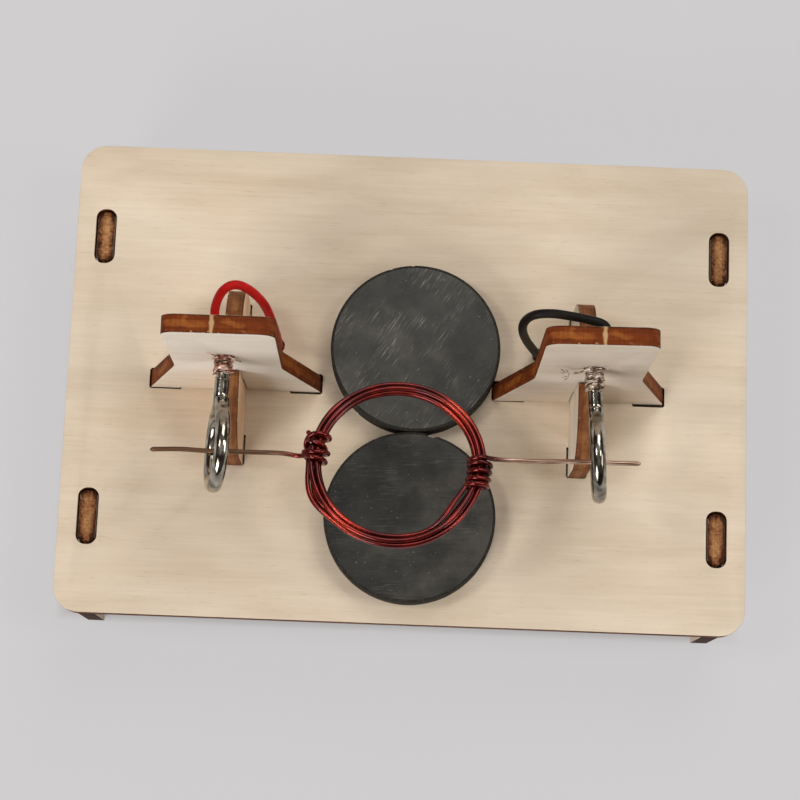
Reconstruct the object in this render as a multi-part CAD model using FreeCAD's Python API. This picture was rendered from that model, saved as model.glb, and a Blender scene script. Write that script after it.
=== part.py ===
"""Demonstration electric motor: a hand-wound coil that spins in two screw eyes above two disc magnets.

Frame: +X to the right, +Y to the rear, +Z up, in millimetres. The origin is on the surface that the stand
rests on, under the middle of the top plate. Sheet parts are drawn flat, as they are cut, and then stood up.
"""
import FreeCAD, Part
import math
import os
from FreeCAD import Placement, Rotation, Vector

# --- Plywood stand -----------------------------------------------------------------------------------------
sheet = 3.0  # thickness of all the plywood
plate_length = 120.0
plate_width = 84.0
plate_corner_radius = 4.5
leg_height = 17.0  # free height under the top plate
leg_inset = 5.1  # from the plate's end to the leg's middle plane
leg_end_recess = 0.3  # from the plate's long edge to the leg's end
leg_tab_length = 7.7
leg_tab_spacing = 50.4
leg_tab_recess = 0.4  # the tab stops this far under the plate's top
leg_arch_height = 6.0
leg_foot_length = 14.0
leg_arch_radius = 3.0
slot_side_gap = 0.3  # play on each side of every tab in its slot
leg_slot_end_gap = 1.1
leg_slot_end_radius = 1.6

support_spacing = 60.4  # between the middle lines of the two uprights
support_line = -0.3  # Y of the uprights' middle plane
upright_base_width = 29.9
upright_waist_width = 18.0
upright_waist_height = 19.3
upright_waist_radius = 7.0
upright_height = 45.2
upright_top_radius = 2.5
upright_tab_length = 5.2
upright_turn_left = 0.3  # degrees each upright has turned in its loose slots, seen from above
upright_turn_right = 0.9
upright_lean_left = 0.0  # degrees each upright leans back in its loose slots
upright_lean_right = 0.7
brace_line = -0.8  # Y of the brace's middle
brace_shift_left = 0.35  # from the upright's middle line to the brace's middle plane, to the right
brace_shift_right = 0.0
brace_length = 29.0
brace_height = 17.5
brace_corner_radius = 9.0
brace_tab_length = 5.0
brace_tab_inset = 0.3  # from the brace's end to its tab
lap_height = 8.8  # where the upright's slot and the brace's slot meet
lap_gap = 0.15  # play on each side of the crossed joint
tab_outer_gap = 0.3  # visible gap past a tab's outer end
tab_inner_gap = 0.1
tab_slot_corner = 0.3  # broken corner at a slot's outer end

# --- Screw eyes --------------------------------------------------------------------------------------------
eye_wire = 2.4  # diameter of the eye's wire
eye_outer = 15.0  # outer diameter of the ring
eye_height = 28.0  # from the plate's top to the shank's middle line
eye_reach_left = 15.0  # from the upright's front face to the ring's centre
eye_reach_right = 14.75
eye_twist_left = 12.0  # degrees the ring is turned about its shank
eye_twist_right = -5.0
eye_yaw_left = 1.5  # degrees each shank points outwards
eye_yaw_right = 3.3
eye_neck_radius = 2.0  # bend from the shank down into the ring
eye_end_radius = 2.6  # bend of the ring's free end back along the shank
eye_end_length = 0.9  # straight free end that lies on the shank
eye_end_gap = 0.1
thread_diameter = 2.5
thread_front = 4.6  # how far the thread shows in front of the upright
thread_rear = 2.0  # how far the full thread shows behind the upright
point_length = 2.0
screw_hole_diameter = 3.3

# --- Magnets -----------------------------------------------------------------------------------------------
magnet_diameter = 29.7
magnet_thickness = 5.0
magnet_chamfer = 0.3
magnet_line_x = 1.2
magnet_rear_y = 5.9
magnet_gap = 0.05

# --- Rotor, one enamelled wire -----------------------------------------------------------------------------
coil_wire = 0.8
coil_radius = 13.6  # middle of the bundle of turns
strand_gap = 0.06  # between neighbouring turns in the bundle
coil_offset_x = -1.4  # bundle's centre from the middle of the axle
coil_offset_v = -1.3  # bundle's centre from the axle, along the plane of the coil
coil_tilt = -14.0  # degrees about the axle, front edge raised
axle_end_left = 41.6  # from the plate's middle
axle_end_right = 38.3
axle_gap = 0.05  # running play between the axle and a ring
wrap_gap = 0.03
wraps_left = (3.3, 2.35, 0.95, -0.85)  # places of the binding turns along the bundle, from the axle
wraps_right = (-0.95, -2.2, -3.5, -4.65)

# --- Leads and their bare strands --------------------------------------------------------------------------
lead_diameter = 1.5
lead_hole_diameter = 2.5
lead_hole_x = 23.2
lead_hole_y = 6.4
lead_drop = 3.7  # how far under the plate the lead turns to its lug
lead_first_run = 0.8  # share of the way from its lug to the plate hole
strand_turns = 4
strand_pitch = 0.9
strand_height_left = 0.5  # of the strands over the thread
strand_height_right = 0.28
strand_fit = 0.02

# --- Battery tray under the plate --------------------------------------------------------------------------
cell_diameter = 14.5
cell_length = 49.5  # without the nub
nub_diameter = 5.5
nub_length = 1.0
tape_thickness = 0.8
tape_inset = 2.0
tray_wall = 1.0
tray_fit = 0.15  # around the cell and the contacts
tray_depth = 11.4
tray_line_y = -4.4
contact_thickness = 0.4
contact_width = 9.0
spring_length = 2.8  # room for the spring contact at the cell's flat end
lug_length = 6.0
lug_height = 2.2

# --- Sizes that follow from those --------------------------------------------------------------------------
plate_bottom = leg_height
plate_top = leg_height + sheet
leg_x = plate_length / 2 - leg_inset
support_x = support_spacing / 2
front_face = support_line - sheet / 2
rear_face = support_line + sheet / 2
eye_radius = (eye_outer - eye_wire) / 2
thread_radius = thread_diameter / 2
strand_inner = thread_radius + strand_fit
wire_radius = coil_wire / 2
turn_pitch = coil_wire + strand_gap
bundle_radius = 1.5 * turn_pitch
cell_radius = cell_diameter / 2
tray_top = plate_bottom - tape_thickness
cell_z = tray_top - tray_wall - tray_fit - cell_radius
contact_x = (cell_length + nub_length + spring_length) / 2
tray_inside = contact_x + contact_thickness + tray_fit
tray_inside_width = cell_diameter + 2 * tray_fit
lug_y = tray_line_y + cell_radius
lead_exit_z = plate_bottom - lead_drop

EYE_SIDES = 10
EYE_STEP = 12.0  # degrees between the short straight runs of the eye's bends
LEAD_SIDES = 6
TURN_SIDES = 6
TURN_STEPS = 12
STRAND_SIDES = 12


def fillet_arc(before, corner, after, radius):
    """The tangent arc that rounds a corner: its start, its middle and its end."""
    back = (before - corner).normalize()
    ahead = (after - corner).normalize()
    half = back.getAngle(ahead) / 2
    reach = radius / math.tan(half)
    centre = corner + (back + ahead).normalize() * (radius / math.sin(half))
    middle = centre + (corner - centre).normalize() * radius
    return corner + back * reach, middle, corner + ahead * reach


def outline(corners):
    """A closed flat wire through corners (a, b, radius), each rounded by its radius if that isn't 0."""
    points = [Vector(a, b, 0) for a, b, radius in corners]
    stops = []
    for i, (a, b, radius) in enumerate(corners):
        if radius:
            stops.append(fillet_arc(points[i - 1], points[i], points[(i + 1) % len(points)], radius))
        else:
            stops.append((points[i],))
    edges = []
    for i, stop in enumerate(stops):
        edges.append(Part.LineSegment(stops[i - 1][-1], stop[0]).toShape())
        if len(stop) == 3:
            edges.append(Part.Arc(*stop).toShape())
    return Part.Wire(edges)


def mirrored(half):
    """A whole symmetric outline from its right half, whose corners run upwards."""
    return half + [(-a, b, radius) for a, b, radius in reversed(half)]


def cut_sheet(corners):
    """A flat piece of plywood with that outline, with its middle plane at height 0."""
    piece = Part.Face(outline(corners)).extrude(Vector(0, 0, sheet))
    return placed(piece, Vector(0, 0, -sheet / 2), Rotation())


def placed(piece, place, turn):
    """The piece turned and then moved."""
    return piece.transformed(Placement(place, turn).toMatrix())


def rectangle(a, b, length, width, radius=0.0):
    """Corners of a rectangle about (a, b)."""
    right, top = length / 2, width / 2
    return [
        (a + right, b - top, radius),
        (a + right, b + top, radius),
        (a - right, b + top, radius),
        (a - right, b - top, radius),
    ]


def stood_across(piece):
    """A flat piece stood up facing the front: drawn right is +X and drawn up is +Z."""
    return placed(piece, Vector(), Rotation(Vector(1, 0, 0), 90))


def stood_along(piece, place):
    """A flat piece stood up facing the side: drawn right is +Y and drawn up is +Z."""
    return placed(stood_across(piece), place, Rotation(Vector(0, 0, 1), 90))


def tab_slot(side, middle, tip, length, line, lengthways):
    """Corners of the plate slot for a tab that reaches out from a middle to its tip, on one side of it."""
    low = middle + side * (tip - length - tab_inner_gap)
    high = middle + side * (tip + tab_outer_gap)
    shoulder = high - side * tab_slot_corner
    half = sheet / 2 + slot_side_gap
    end = half - tab_slot_corner
    corners = [(low, -half), (shoulder, -half), (high, -end), (high, end), (shoulder, half), (low, half)]
    if lengthways:
        return [(a, line + b, 0) for a, b in corners]
    return [(line + b, a, 0) for a, b in corners]


def top_plate():
    plate = cut_sheet(rectangle(0, 0, plate_length, plate_width, plate_corner_radius))
    width = sheet + 2 * slot_side_gap
    length = leg_tab_length + 2 * leg_slot_end_gap
    upright_tip = upright_base_width / 2
    brace_tip = brace_length / 2 - brace_tab_inset
    slots = []
    for side, brace_shift in ((-1, brace_shift_left), (1, brace_shift_right)):
        for end in (-1, 1):
            y = end * leg_tab_spacing / 2
            slots.append(rectangle(side * leg_x, y, width, length, leg_slot_end_radius))
            x = side * support_x
            slots.append(tab_slot(end, x, upright_tip, upright_tab_length, support_line, True))
            slots.append(tab_slot(end, brace_line, brace_tip, brace_tab_length, x + brace_shift, False))
    for corners in slots:
        plate = plate.cut(cut_sheet(corners))
    for side in (-1, 1):
        place = Vector(side * lead_hole_x, lead_hole_y, -sheet)
        plate = plate.cut(Part.makeCylinder(lead_hole_diameter / 2, 2 * sheet, place))
    return placed(plate, Vector(0, 0, plate_bottom + sheet / 2), Rotation())


def leg_panel(side):
    """A panel under one end of the plate, with two tabs up through the plate and an arch between its feet."""
    end = plate_width / 2 - leg_end_recess
    foot = end - leg_foot_length
    tab_top = plate_top - leg_tab_recess
    outer = (leg_tab_spacing + leg_tab_length) / 2
    inner = (leg_tab_spacing - leg_tab_length) / 2
    half = [
        (foot, leg_arch_height, leg_arch_radius),
        (foot, 0, 0),
        (end, 0, 0),
        (end, leg_height, 0),
        (outer, leg_height, 0),
        (outer, tab_top, 0),
        (inner, tab_top, 0),
        (inner, leg_height, 0),
    ]
    return stood_along(cut_sheet(mirrored(half)), Vector(side * leg_x, 0, 0))


def stance(side, turned, lean):
    """Where an upright stands: turned about the vertical and leaning back on its rear lower edge."""
    turn = Rotation(Vector(0, 0, 1), turned).multiply(Rotation(Vector(1, 0, 0), -lean))
    lift = sheet / 2 * math.sin(math.radians(lean))
    return Placement(Vector(side * support_x, support_line, plate_top + lift), turn)


def upright(side, turned, lean, brace_shift):
    """A flared post with a hole for the screw eye, slotted at its foot to straddle the brace."""
    base = upright_base_width / 2
    waist = upright_waist_width / 2
    half = [
        (base - upright_tab_length, 0, 0),
        (base - upright_tab_length, -sheet, 0),
        (base, -sheet, 0),
        (base, 0, 0),
        (waist, upright_waist_height, upright_waist_radius),
        (waist, upright_height, upright_top_radius),
    ]
    slot = rectangle(brace_shift, 0, sheet + 2 * lap_gap, 2 * (lap_height + lap_gap))
    hole = Part.makeCylinder(screw_hole_diameter / 2, 2 * sheet, Vector(0, eye_height, -sheet))
    piece = cut_sheet(mirrored(half)).cut(cut_sheet(slot)).cut(hole)
    return stood_across(piece).transformed(stance(side, turned, lean).toMatrix())


def cross_brace(side, lean, brace_shift):
    """A round-shouldered foot that crosses the upright and is slotted from above."""
    end = brace_length / 2
    tab_out = end - brace_tab_inset
    tab_in = tab_out - brace_tab_length
    half = [
        (tab_in, 0, 0),
        (tab_in, -sheet, 0),
        (tab_out, -sheet, 0),
        (tab_out, 0, 0),
        (end, 0, 0),
        (end, brace_height, brace_corner_radius),
    ]
    crossing = support_line - brace_line + math.sin(math.radians(lean)) * (lap_height + brace_height) / 2
    lap = rectangle(crossing, lap_height + brace_height / 2, sheet + 2 * lap_gap, brace_height)
    piece = cut_sheet(mirrored(half)).cut(cut_sheet(lap))
    return stood_along(piece, Vector(side * support_x + brace_shift, brace_line, plate_top))


def lathe(profile):
    """A solid turned about the X axis from its (distance along, radius) profile."""
    points = [Vector(along, radius, 0) for along, radius in profile]
    points.append(points[0])
    return Part.Face(Part.makePolygon(points)).revolve(Vector(0, 0, 0), Vector(1, 0, 0), 360)


def magnet(y):
    """A disc magnet with lightly broken edges, lying on the plate."""
    radius = magnet_diameter / 2
    profile = [
        (0, 0),
        (0, radius - magnet_chamfer),
        (magnet_chamfer, radius),
        (magnet_thickness - magnet_chamfer, radius),
        (magnet_thickness, radius - magnet_chamfer),
        (magnet_thickness, 0),
    ]
    return placed(lathe(profile), Vector(magnet_line_x, y, plate_top), Rotation(Vector(0, 1, 0), -90))


def section(sides, radius, place, direction):
    """Corners of a regular polygon about a place, square to a direction, for a wire's round section."""
    turn = Rotation(Vector(0, 0, 1), direction)
    angles = [2 * math.pi * (i + 0.5) / sides for i in range(sides)]
    return [place + turn.multVec(Vector(math.cos(angle), math.sin(angle), 0) * radius) for angle in angles]


def polygon(corners):
    return Part.makePolygon(list(corners) + [corners[0]])


def skinned(rows, closed):
    """A solid between rows of matching corners, closed on itself or by its two end rows."""
    faces = [] if closed else [Part.Face(polygon(rows[0])), Part.Face(polygon(rows[-1]))]
    for i in range(0 if closed else 1, len(rows)):
        here, there = rows[i - 1], rows[i]
        for j in range(len(here)):
            faces.append(Part.Face(polygon([here[j - 1], here[j], there[j], there[j - 1]])))
    return Part.makeSolid(Part.makeShell(faces))


def bent(points, sides, radius):
    """A flat-bent wire of short straight runs through points in the XY plane, mitred where they meet."""
    runs = [(stop - start).normalize() for start, stop in zip(points, points[1:])]
    row = section(sides, radius, points[0], runs[0])
    rows = [row]
    for point, run, after in zip(points[1:], runs, runs[1:] + runs[-1:]):
        mitre = run + after
        row = [corner + run * ((point - corner).dot(mitre) / run.dot(mitre)) for corner in row]
        rows.append(row)
    return skinned(rows, False)


def arc_points(centre, radius, start, stop):
    """Points along an arc in the XY plane, from one angle to the other, in degrees."""
    count = max(2, round(abs(stop - start) / EYE_STEP))
    points = []
    for i in range(count + 1):
        angle = math.radians(start + (stop - start) * i / count)
        points.append(centre + Vector(math.cos(angle), math.sin(angle), 0) * radius)
    return points


def eye_screw(reach):
    """A screw eye drawn flat, with its ring about the origin and its shank along -X.

    The wire bends down from the shank, runs once round the ring and ends lying on top of the shank.
    """
    neck = Vector(-math.sqrt((eye_radius + eye_neck_radius) ** 2 - eye_neck_radius**2), -eye_neck_radius, 0)
    neck_angle = math.degrees(math.atan2(neck.y, neck.x)) + 360
    stack = eye_wire + eye_end_gap
    rise = stack + eye_end_radius
    end = Vector(-math.sqrt((eye_radius + eye_end_radius) ** 2 - rise**2), rise, 0)
    end_angle = math.degrees(math.atan2(end.y, end.x)) + 360
    thread_stop = Vector(-reach + thread_front, 0, 0)
    points = [thread_stop]
    points += arc_points(neck, eye_neck_radius, 90, neck_angle - 180)
    points += arc_points(Vector(), eye_radius, neck_angle, end_angle)[1:]
    points += arc_points(end, eye_end_radius, end_angle - 180, 270)[1:]
    points.append(points[-1] - Vector(eye_end_length, 0, 0))
    tip = -reach - sheet - thread_rear - point_length
    profile = [
        (tip, 0),
        (tip + point_length, thread_radius),
        (thread_stop.x, thread_radius),
        (thread_stop.x, 0),
    ]
    return bent(points, EYE_SIDES, eye_wire / 2).fuse(lathe(profile))


def swept(path, sides, radius, start, direction):
    """A cord of that radius along a path, with flats round its section."""
    return path.makePipeShell([polygon(section(sides, radius, start, direction))], True, False)


def strand_wrap(reach, yaw, height):
    """Copper strands wound round the thread before the upright, through the hole and once behind it."""
    tilt = math.sin(math.radians(yaw))
    outer = strand_inner + height
    groove = strand_inner + height / 2
    face_gap = strand_fit + outer * tilt
    front = -reach + face_gap
    rear = -reach - sheet - face_gap
    sleeve = min(groove, screw_hole_diameter / 2 - strand_fit - sheet / 2 * tilt)
    outside = [(rear - strand_pitch, outer), (rear, outer), (rear, sleeve), (front, sleeve)]
    for i in range(strand_turns):
        outside.append((front + (i + 0.5) * strand_pitch, outer))
        outside.append((front + (i + 1) * strand_pitch, groove))
    inside = strand_inner / math.cos(math.pi / STRAND_SIDES)
    corners = [(outside[0][0], inside)] + outside + [(outside[-1][0], inside)]
    rows = []
    for i in range(STRAND_SIDES):
        turn = Rotation(Vector(1, 0, 0), 360 * i / STRAND_SIDES)
        rows.append([turn.multVec(Vector(along, radius, 0)) for along, radius in corners])
    return skinned(rows, True)


def eye_stance(side, reach, twist, yaw, lean):
    """Where a ring's centre is, and how the eye is turned about its shank and the shank with its upright."""
    hole = stance(side, 0, lean).multVec(Vector(0, 0, eye_height))
    shank = Rotation(Vector(0, 0, 1), side * yaw).multiply(Rotation(Vector(1, 0, 0), -lean))
    turn = shank.multiply(Rotation(Vector(0, 1, 0), twist))
    return Placement(hole + turn.multVec(Vector(0, -reach - sheet / 2, 0)), turn)


def at_eye(piece, *eye):
    """Puts a piece that is drawn about the ring's centre, with the shank along -X, at its screw hole."""
    lay = Rotation(Vector(0, -1, 0), Vector(0, 0, 1), Vector(-1, 0, 0), "XYZ")
    return piece.transformed(eye_stance(*eye).multiply(Placement(Vector(), lay)).toMatrix())


def rest_point(*eye):
    """Where the middle of the axle lies over the lowest part of a ring."""
    up = Vector(0, 0, eye_wire / 2 + axle_gap + wire_radius)
    return eye_stance(*eye).multVec(Vector(0, 0, -eye_radius)) + up


def route(points):
    """A cord's path: straight runs joined by tangent arcs, each as large as its two runs allow."""
    edges = []
    radii = []
    last = points[0]
    for before, corner, after in zip(points, points[1:], points[2:]):
        half = (math.pi - (before - corner).getAngle(after - corner)) / 2
        shorter = min((corner - before).Length, (after - corner).Length)
        radii.append(0.45 * shorter / math.tan(half))
        start, middle, stop = fillet_arc(before, corner, after, radii[-1])
        edges.append(Part.LineSegment(last, start).toShape())
        edges.append(Part.Arc(start, middle, stop).toShape())
        last = stop
    edges.append(Part.LineSegment(last, points[-1]).toShape())
    return Part.Wire(edges), radii


# Corners of each lead above the plate: the share of the way from its plate hole to the screw hole, of the
# way from the upright's rear face back to the plate hole, and of the screw hole's height over the plate.
red_corners = (
    (-0.03, 1.0, -0.09),
    (-0.04, 0.98, 0.27),
    (-0.014, 0.896, 0.78),
    (0.12, 1.13, 1.05),
    (0.44, 1.36, 1.21),
    (0.75, 1.43, 1.28),
    (1.05, 1.26, 1.247),
    (1.227, 0.89, 1.153),
    (1.255, 0.53, 1.082),
    (1.17, 0.22, 1.061),
)
black_corners = (
    (-0.02, 1.0, -0.09),
    (-0.07, 1.0, 0.04),
    (-0.424, 0.999, 0.39),
    (-0.629, 1.004, 0.696),
    (-0.636, 1.055, 0.904),
    (-0.448, 1.117, 1.041),
    (-0.03, 1.147, 1.066),
    (0.414, 1.061, 1.079),
    (0.872, 0.944, 1.087),
    (1.22, 0.838, 1.084),
    (1.33, 0.5, 1.067),
    (1.186, 0.22, 1.057),
)


def lead(name, side, corners):
    """An insulated lead, from its battery lug up through the plate and over to the screw hole."""
    hole = Vector(side * lead_hole_x, lead_hole_y, plate_top)
    points = [
        Vector(hole.x, lug_y + strand_fit, lead_exit_z),
        Vector(hole.x, lug_y + lead_first_run * (hole.y - lug_y), lead_exit_z - strand_fit),
    ]
    for along, back, high in corners:
        x = hole.x + along * (side * support_x - hole.x)
        y = rear_face + back * (hole.y - rear_face)
        points.append(Vector(x, y, plate_top + high * eye_height))
    path, radii = route(points)
    tube = swept(path, LEAD_SIDES, lead_diameter / 2, points[0], points[1] - points[0])
    area = LEAD_SIDES / 2 * math.sin(2 * math.pi / LEAD_SIDES) * (lead_diameter / 2) ** 2
    print(f"{name}: {path.Length:.1f} mm long, radii {[round(radius, 1) for radius in radii]} mm")
    print(f"{name}: volume {tube.Volume:.2f}, section times length {area * path.Length:.2f} mm3")
    return tube


def coil_winding():
    """The bundle of turns about the Z axis, six nested about one, inside its twelve-sided envelope."""
    reach = turn_pitch / math.sqrt(3)
    corners = []
    for i in range(6):
        lobe = math.radians(60 * i)
        middle = Vector(coil_radius + turn_pitch * math.cos(lobe), 0, turn_pitch * math.sin(lobe))
        for turn in (-30, 30):
            angle = lobe + math.radians(turn)
            corners.append(middle + Vector(math.cos(angle), 0, math.sin(angle)) * reach)
    return Part.Face(polygon(corners)).revolve(Vector(0, 0, 0), Vector(0, 0, 1), 360)


def wire_turn(radius):
    """One closed turn of the wire about the X axis, made of short straight pieces."""
    rows = []
    for step in range(TURN_STEPS):
        turn = Rotation(Vector(1, 0, 0), 360 * step / TURN_STEPS)
        row = section(TURN_SIDES, wire_radius, Vector(0, radius, 0), Vector(0, 0, 1))
        rows.append([turn.multVec(corner) for corner in row])
    return skinned(rows, True)


def end_wrap(places, side):
    """Turns of the wire's end wound round the bundle, at their places along it from the axle."""
    turns = []
    radius = (bundle_radius + wrap_gap) / math.cos(math.pi / TURN_STEPS) + wire_radius
    for place in places:
        angle = math.asin((place - coil_offset_v) / coil_radius)
        middle = Vector(side * math.cos(angle), math.sin(angle), 0) * coil_radius
        along = Vector(-side * math.sin(angle), math.cos(angle), 0)
        turns.append(placed(wire_turn(radius), middle, Rotation(Vector(1, 0, 0), along)))
    return Part.makeCompound(turns)


def in_coil(piece):
    """Puts a piece that is drawn about the coil's centre into the rotor's frame, tilted with the coil."""
    turn = Rotation(Vector(1, 0, 0), coil_tilt)
    return placed(piece, turn.multVec(Vector(coil_offset_x, coil_offset_v, 0)), turn)


def in_rotor(piece):
    """Puts a piece that is drawn about the axle's middle, with the axle along X, onto the axle's line."""
    return placed(piece, axle_middle, Rotation(Vector(1, 0, 0), axis))


def axle_lead(side, end):
    """The wire's straight end, from the bundle out through the ring."""
    angle = math.asin(-coil_offset_v / coil_radius)
    bundle = bundle_radius + wrap_gap + wire_radius * math.tan(angle)
    start = side * coil_offset_x + coil_radius * math.cos(angle) + bundle
    return Part.makeCylinder(wire_radius, end - start, Vector(side * start, 0, 0), Vector(side, 0, 0))


def box(low, high):
    """A box between two opposite corners, given in any order."""
    corner = Vector(*[min(pair) for pair in zip(low, high)])
    size = Vector(*[abs(a - b) for a, b in zip(low, high)])
    return Part.makeBox(size.x, size.y, size.z, corner)


def battery_tray():
    """A moulded tray, open below, with a notch in its rear wall for each lead."""
    low = tray_top - tray_depth
    half = tray_inside + tray_wall
    half_width = tray_inside_width / 2 + tray_wall
    body = box((-half, tray_line_y - half_width, low), (half, tray_line_y + half_width, tray_top))
    ends = [edge for edge in body.Edges if abs(edge.BoundBox.ZLength - tray_depth) < 1e-6]
    body = body.makeFillet(tray_wall, ends)
    near, far = tray_line_y - tray_inside_width / 2, tray_line_y + tray_inside_width / 2
    body = body.cut(box((-tray_inside, near, low - sheet), (tray_inside, far, tray_top - tray_wall)))
    notch = lead_diameter / 2 + tray_fit
    for x in (-lead_hole_x, lead_hole_x):
        corners = (x - notch, far - tray_fit, low - sheet), (x + notch, far + sheet, lead_exit_z + notch)
        body = body.cut(box(*corners))
    return body


def battery_contact(side, springy):
    """A bent strip: a plate against the tray's end, and a lug along its rear wall for the lead."""
    top = tray_top - tray_wall - tray_fit
    outside = side * (contact_x + contact_thickness)
    near = tray_line_y - contact_width / 2
    plate = box((side * contact_x, near, cell_z - contact_width / 2), (outside, lug_y, top))
    lug_end = side * (contact_x - lug_length)
    lug = box((lug_end, lug_y - contact_thickness, top - lug_height), (outside, lug_y, top))
    strip = plate.fuse(lug)
    if springy:
        strip = strip.fuse(spring_tongue(side))
    return strip.removeSplitter()


def spring_tongue(side):
    """A bowed tongue between the contact's plate and the cell's flat end."""
    half = contact_width / 2
    root = side * contact_x
    bow = side * (contact_x - spring_length + tray_fit)
    inner_bow = bow + side * contact_thickness
    outer = Part.Arc(Vector(root, 0, -half), Vector(bow, 0, 0), Vector(root, 0, half)).toShape()
    lip = half - 2 * contact_thickness
    inner = Part.Arc(Vector(root, 0, lip), Vector(inner_bow, 0, 0), Vector(root, 0, -lip)).toShape()
    ends = [
        Part.LineSegment(Vector(root, 0, half), Vector(root, 0, lip)).toShape(),
        Part.LineSegment(Vector(root, 0, -lip), Vector(root, 0, -half)).toShape(),
    ]
    tongue = Part.Face(Part.Wire([outer, ends[0], inner, ends[1]])).extrude(Vector(0, half, 0))
    return placed(tongue, Vector(0, tray_line_y - half / 2, cell_z), Rotation())


def battery_cell():
    flat = contact_x - spring_length
    profile = [
        (flat, 0),
        (flat, cell_radius),
        (flat - cell_length, cell_radius),
        (flat - cell_length, nub_diameter / 2),
        (flat - cell_length - nub_length, nub_diameter / 2),
        (flat - cell_length - nub_length, 0),
    ]
    return placed(lathe(profile), Vector(0, tray_line_y, cell_z), Rotation())


def foam_tape():
    half = tray_inside - tape_inset
    half_width = tray_inside_width / 2 - tape_inset
    return box((-half, tray_line_y - half_width, tray_top), (half, tray_line_y + half_width, plate_bottom))


left_eye = (-1, eye_reach_left, eye_twist_left, eye_yaw_left, upright_lean_left)
right_eye = (1, eye_reach_right, eye_twist_right, eye_yaw_right, upright_lean_right)
rest_left = rest_point(*left_eye)
rest_right = rest_point(*right_eye)
axis = (rest_right - rest_left).normalize()
axle_middle = rest_left - axis * (rest_left.x / axis.x)

nodes = {
    "top_plate": top_plate(),
    "magnet_rear": magnet(magnet_rear_y),
    "magnet_front": magnet(magnet_rear_y - magnet_diameter - magnet_gap),
    "lead_red": lead("lead_red", -1, red_corners),
    "lead_black": lead("lead_black", 1, black_corners),
    "coil_winding": in_rotor(in_coil(coil_winding())),
    "end_wrap_left": in_rotor(in_coil(end_wrap(wraps_left, -1))),
    "end_wrap_right": in_rotor(in_coil(end_wrap(wraps_right, 1))),
    "axle_lead_left": in_rotor(axle_lead(-1, axle_end_left)),
    "axle_lead_right": in_rotor(axle_lead(1, axle_end_right)),
    "foam_tape": foam_tape(),
    "battery_tray": battery_tray(),
    "battery_cell": battery_cell(),
    "contact_positive": battery_contact(-1, False),
    "contact_negative": battery_contact(1, True),
}
supports = (
    ("left", left_eye, upright_turn_left, brace_shift_left, strand_height_left),
    ("right", right_eye, upright_turn_right, brace_shift_right, strand_height_right),
)
for name, eye, turned, brace_shift, strand_height in supports:
    side, reach, twist, yaw, lean = eye
    nodes[f"leg_panel_{name}"] = leg_panel(side)
    nodes[f"upright_{name}"] = upright(side, turned, lean, brace_shift)
    nodes[f"cross_brace_{name}"] = cross_brace(side, lean, brace_shift)
    nodes[f"eye_screw_{name}"] = at_eye(eye_screw(reach), *eye)
    nodes[f"strand_wrap_{name}"] = at_eye(strand_wrap(reach, yaw, strand_height), *eye)

os.makedirs("parts", exist_ok=True)
for name, shape in nodes.items():
    shape.exportStep(f"parts/{name}.step")
print(f"axle through ({axle_middle.x:.4f}, {axle_middle.y:.4f}, {axle_middle.z:.4f}) mm")
print(f"axle along ({axis.x:.6f}, {axis.y:.6f}, {axis.z:.6f})")
print(f"{len(nodes)} nodes")
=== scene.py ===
# %% [markdown]
# # A demonstration electric motor
# A coil of enamelled copper wire turns in two screw eyes over two disc magnets. The stand is laser-cut
# plywood with a battery tray underneath. The solids of every part come packed as a frame, in metres, with
# +X to the right, +Y to the rear and +Z up. This lesson dresses them: flat parts keep their solid and get a
# finish, and everything made of wire is drawn again as real wire.

# %% Load the frame
import math
import random
from functools import partial

import bmesh
import bpy
from mathutils import Matrix, Vector


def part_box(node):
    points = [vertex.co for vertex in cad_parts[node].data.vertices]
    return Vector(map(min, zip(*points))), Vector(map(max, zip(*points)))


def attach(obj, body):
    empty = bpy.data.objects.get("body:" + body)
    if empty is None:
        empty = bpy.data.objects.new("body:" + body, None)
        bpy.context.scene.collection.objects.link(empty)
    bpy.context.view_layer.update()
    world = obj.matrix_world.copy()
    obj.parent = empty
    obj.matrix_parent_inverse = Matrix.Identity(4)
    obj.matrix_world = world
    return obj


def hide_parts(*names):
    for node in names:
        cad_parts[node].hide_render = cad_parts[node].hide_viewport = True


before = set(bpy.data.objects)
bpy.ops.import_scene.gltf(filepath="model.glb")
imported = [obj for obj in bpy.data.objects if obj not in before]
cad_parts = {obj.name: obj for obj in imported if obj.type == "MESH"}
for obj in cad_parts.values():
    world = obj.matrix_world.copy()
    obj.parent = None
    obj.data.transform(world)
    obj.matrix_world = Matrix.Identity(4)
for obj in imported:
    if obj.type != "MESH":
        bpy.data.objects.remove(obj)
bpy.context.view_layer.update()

MM = 0.001

# %% [markdown]
# ## Small helpers
# Colours are easiest to write as the hex codes that a paint program shows, but a shader mixes linear light,
# so one function turns them. Node trees are long when they are built by hand, so a second function adds any
# node, with its settings and the links that lead into it. The others start and end a material, put an
# object in the scene and say what a finished piece is.

# %% Helpers for colours, nodes, materials and pieces
def srgb(code):
    """Linear colour from an sRGB hex code."""
    channels = [int(code[i : i + 2], 16) / 255 for i in (0, 2, 4)]
    return [c / 12.92 if c <= 0.04045 else ((c + 0.055) / 1.055) ** 2.4 for c in channels] + [1.0]


MODES = ("operation", "interpolation_type", "spline_type", "data_type")  # what a kind's second word can be


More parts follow.
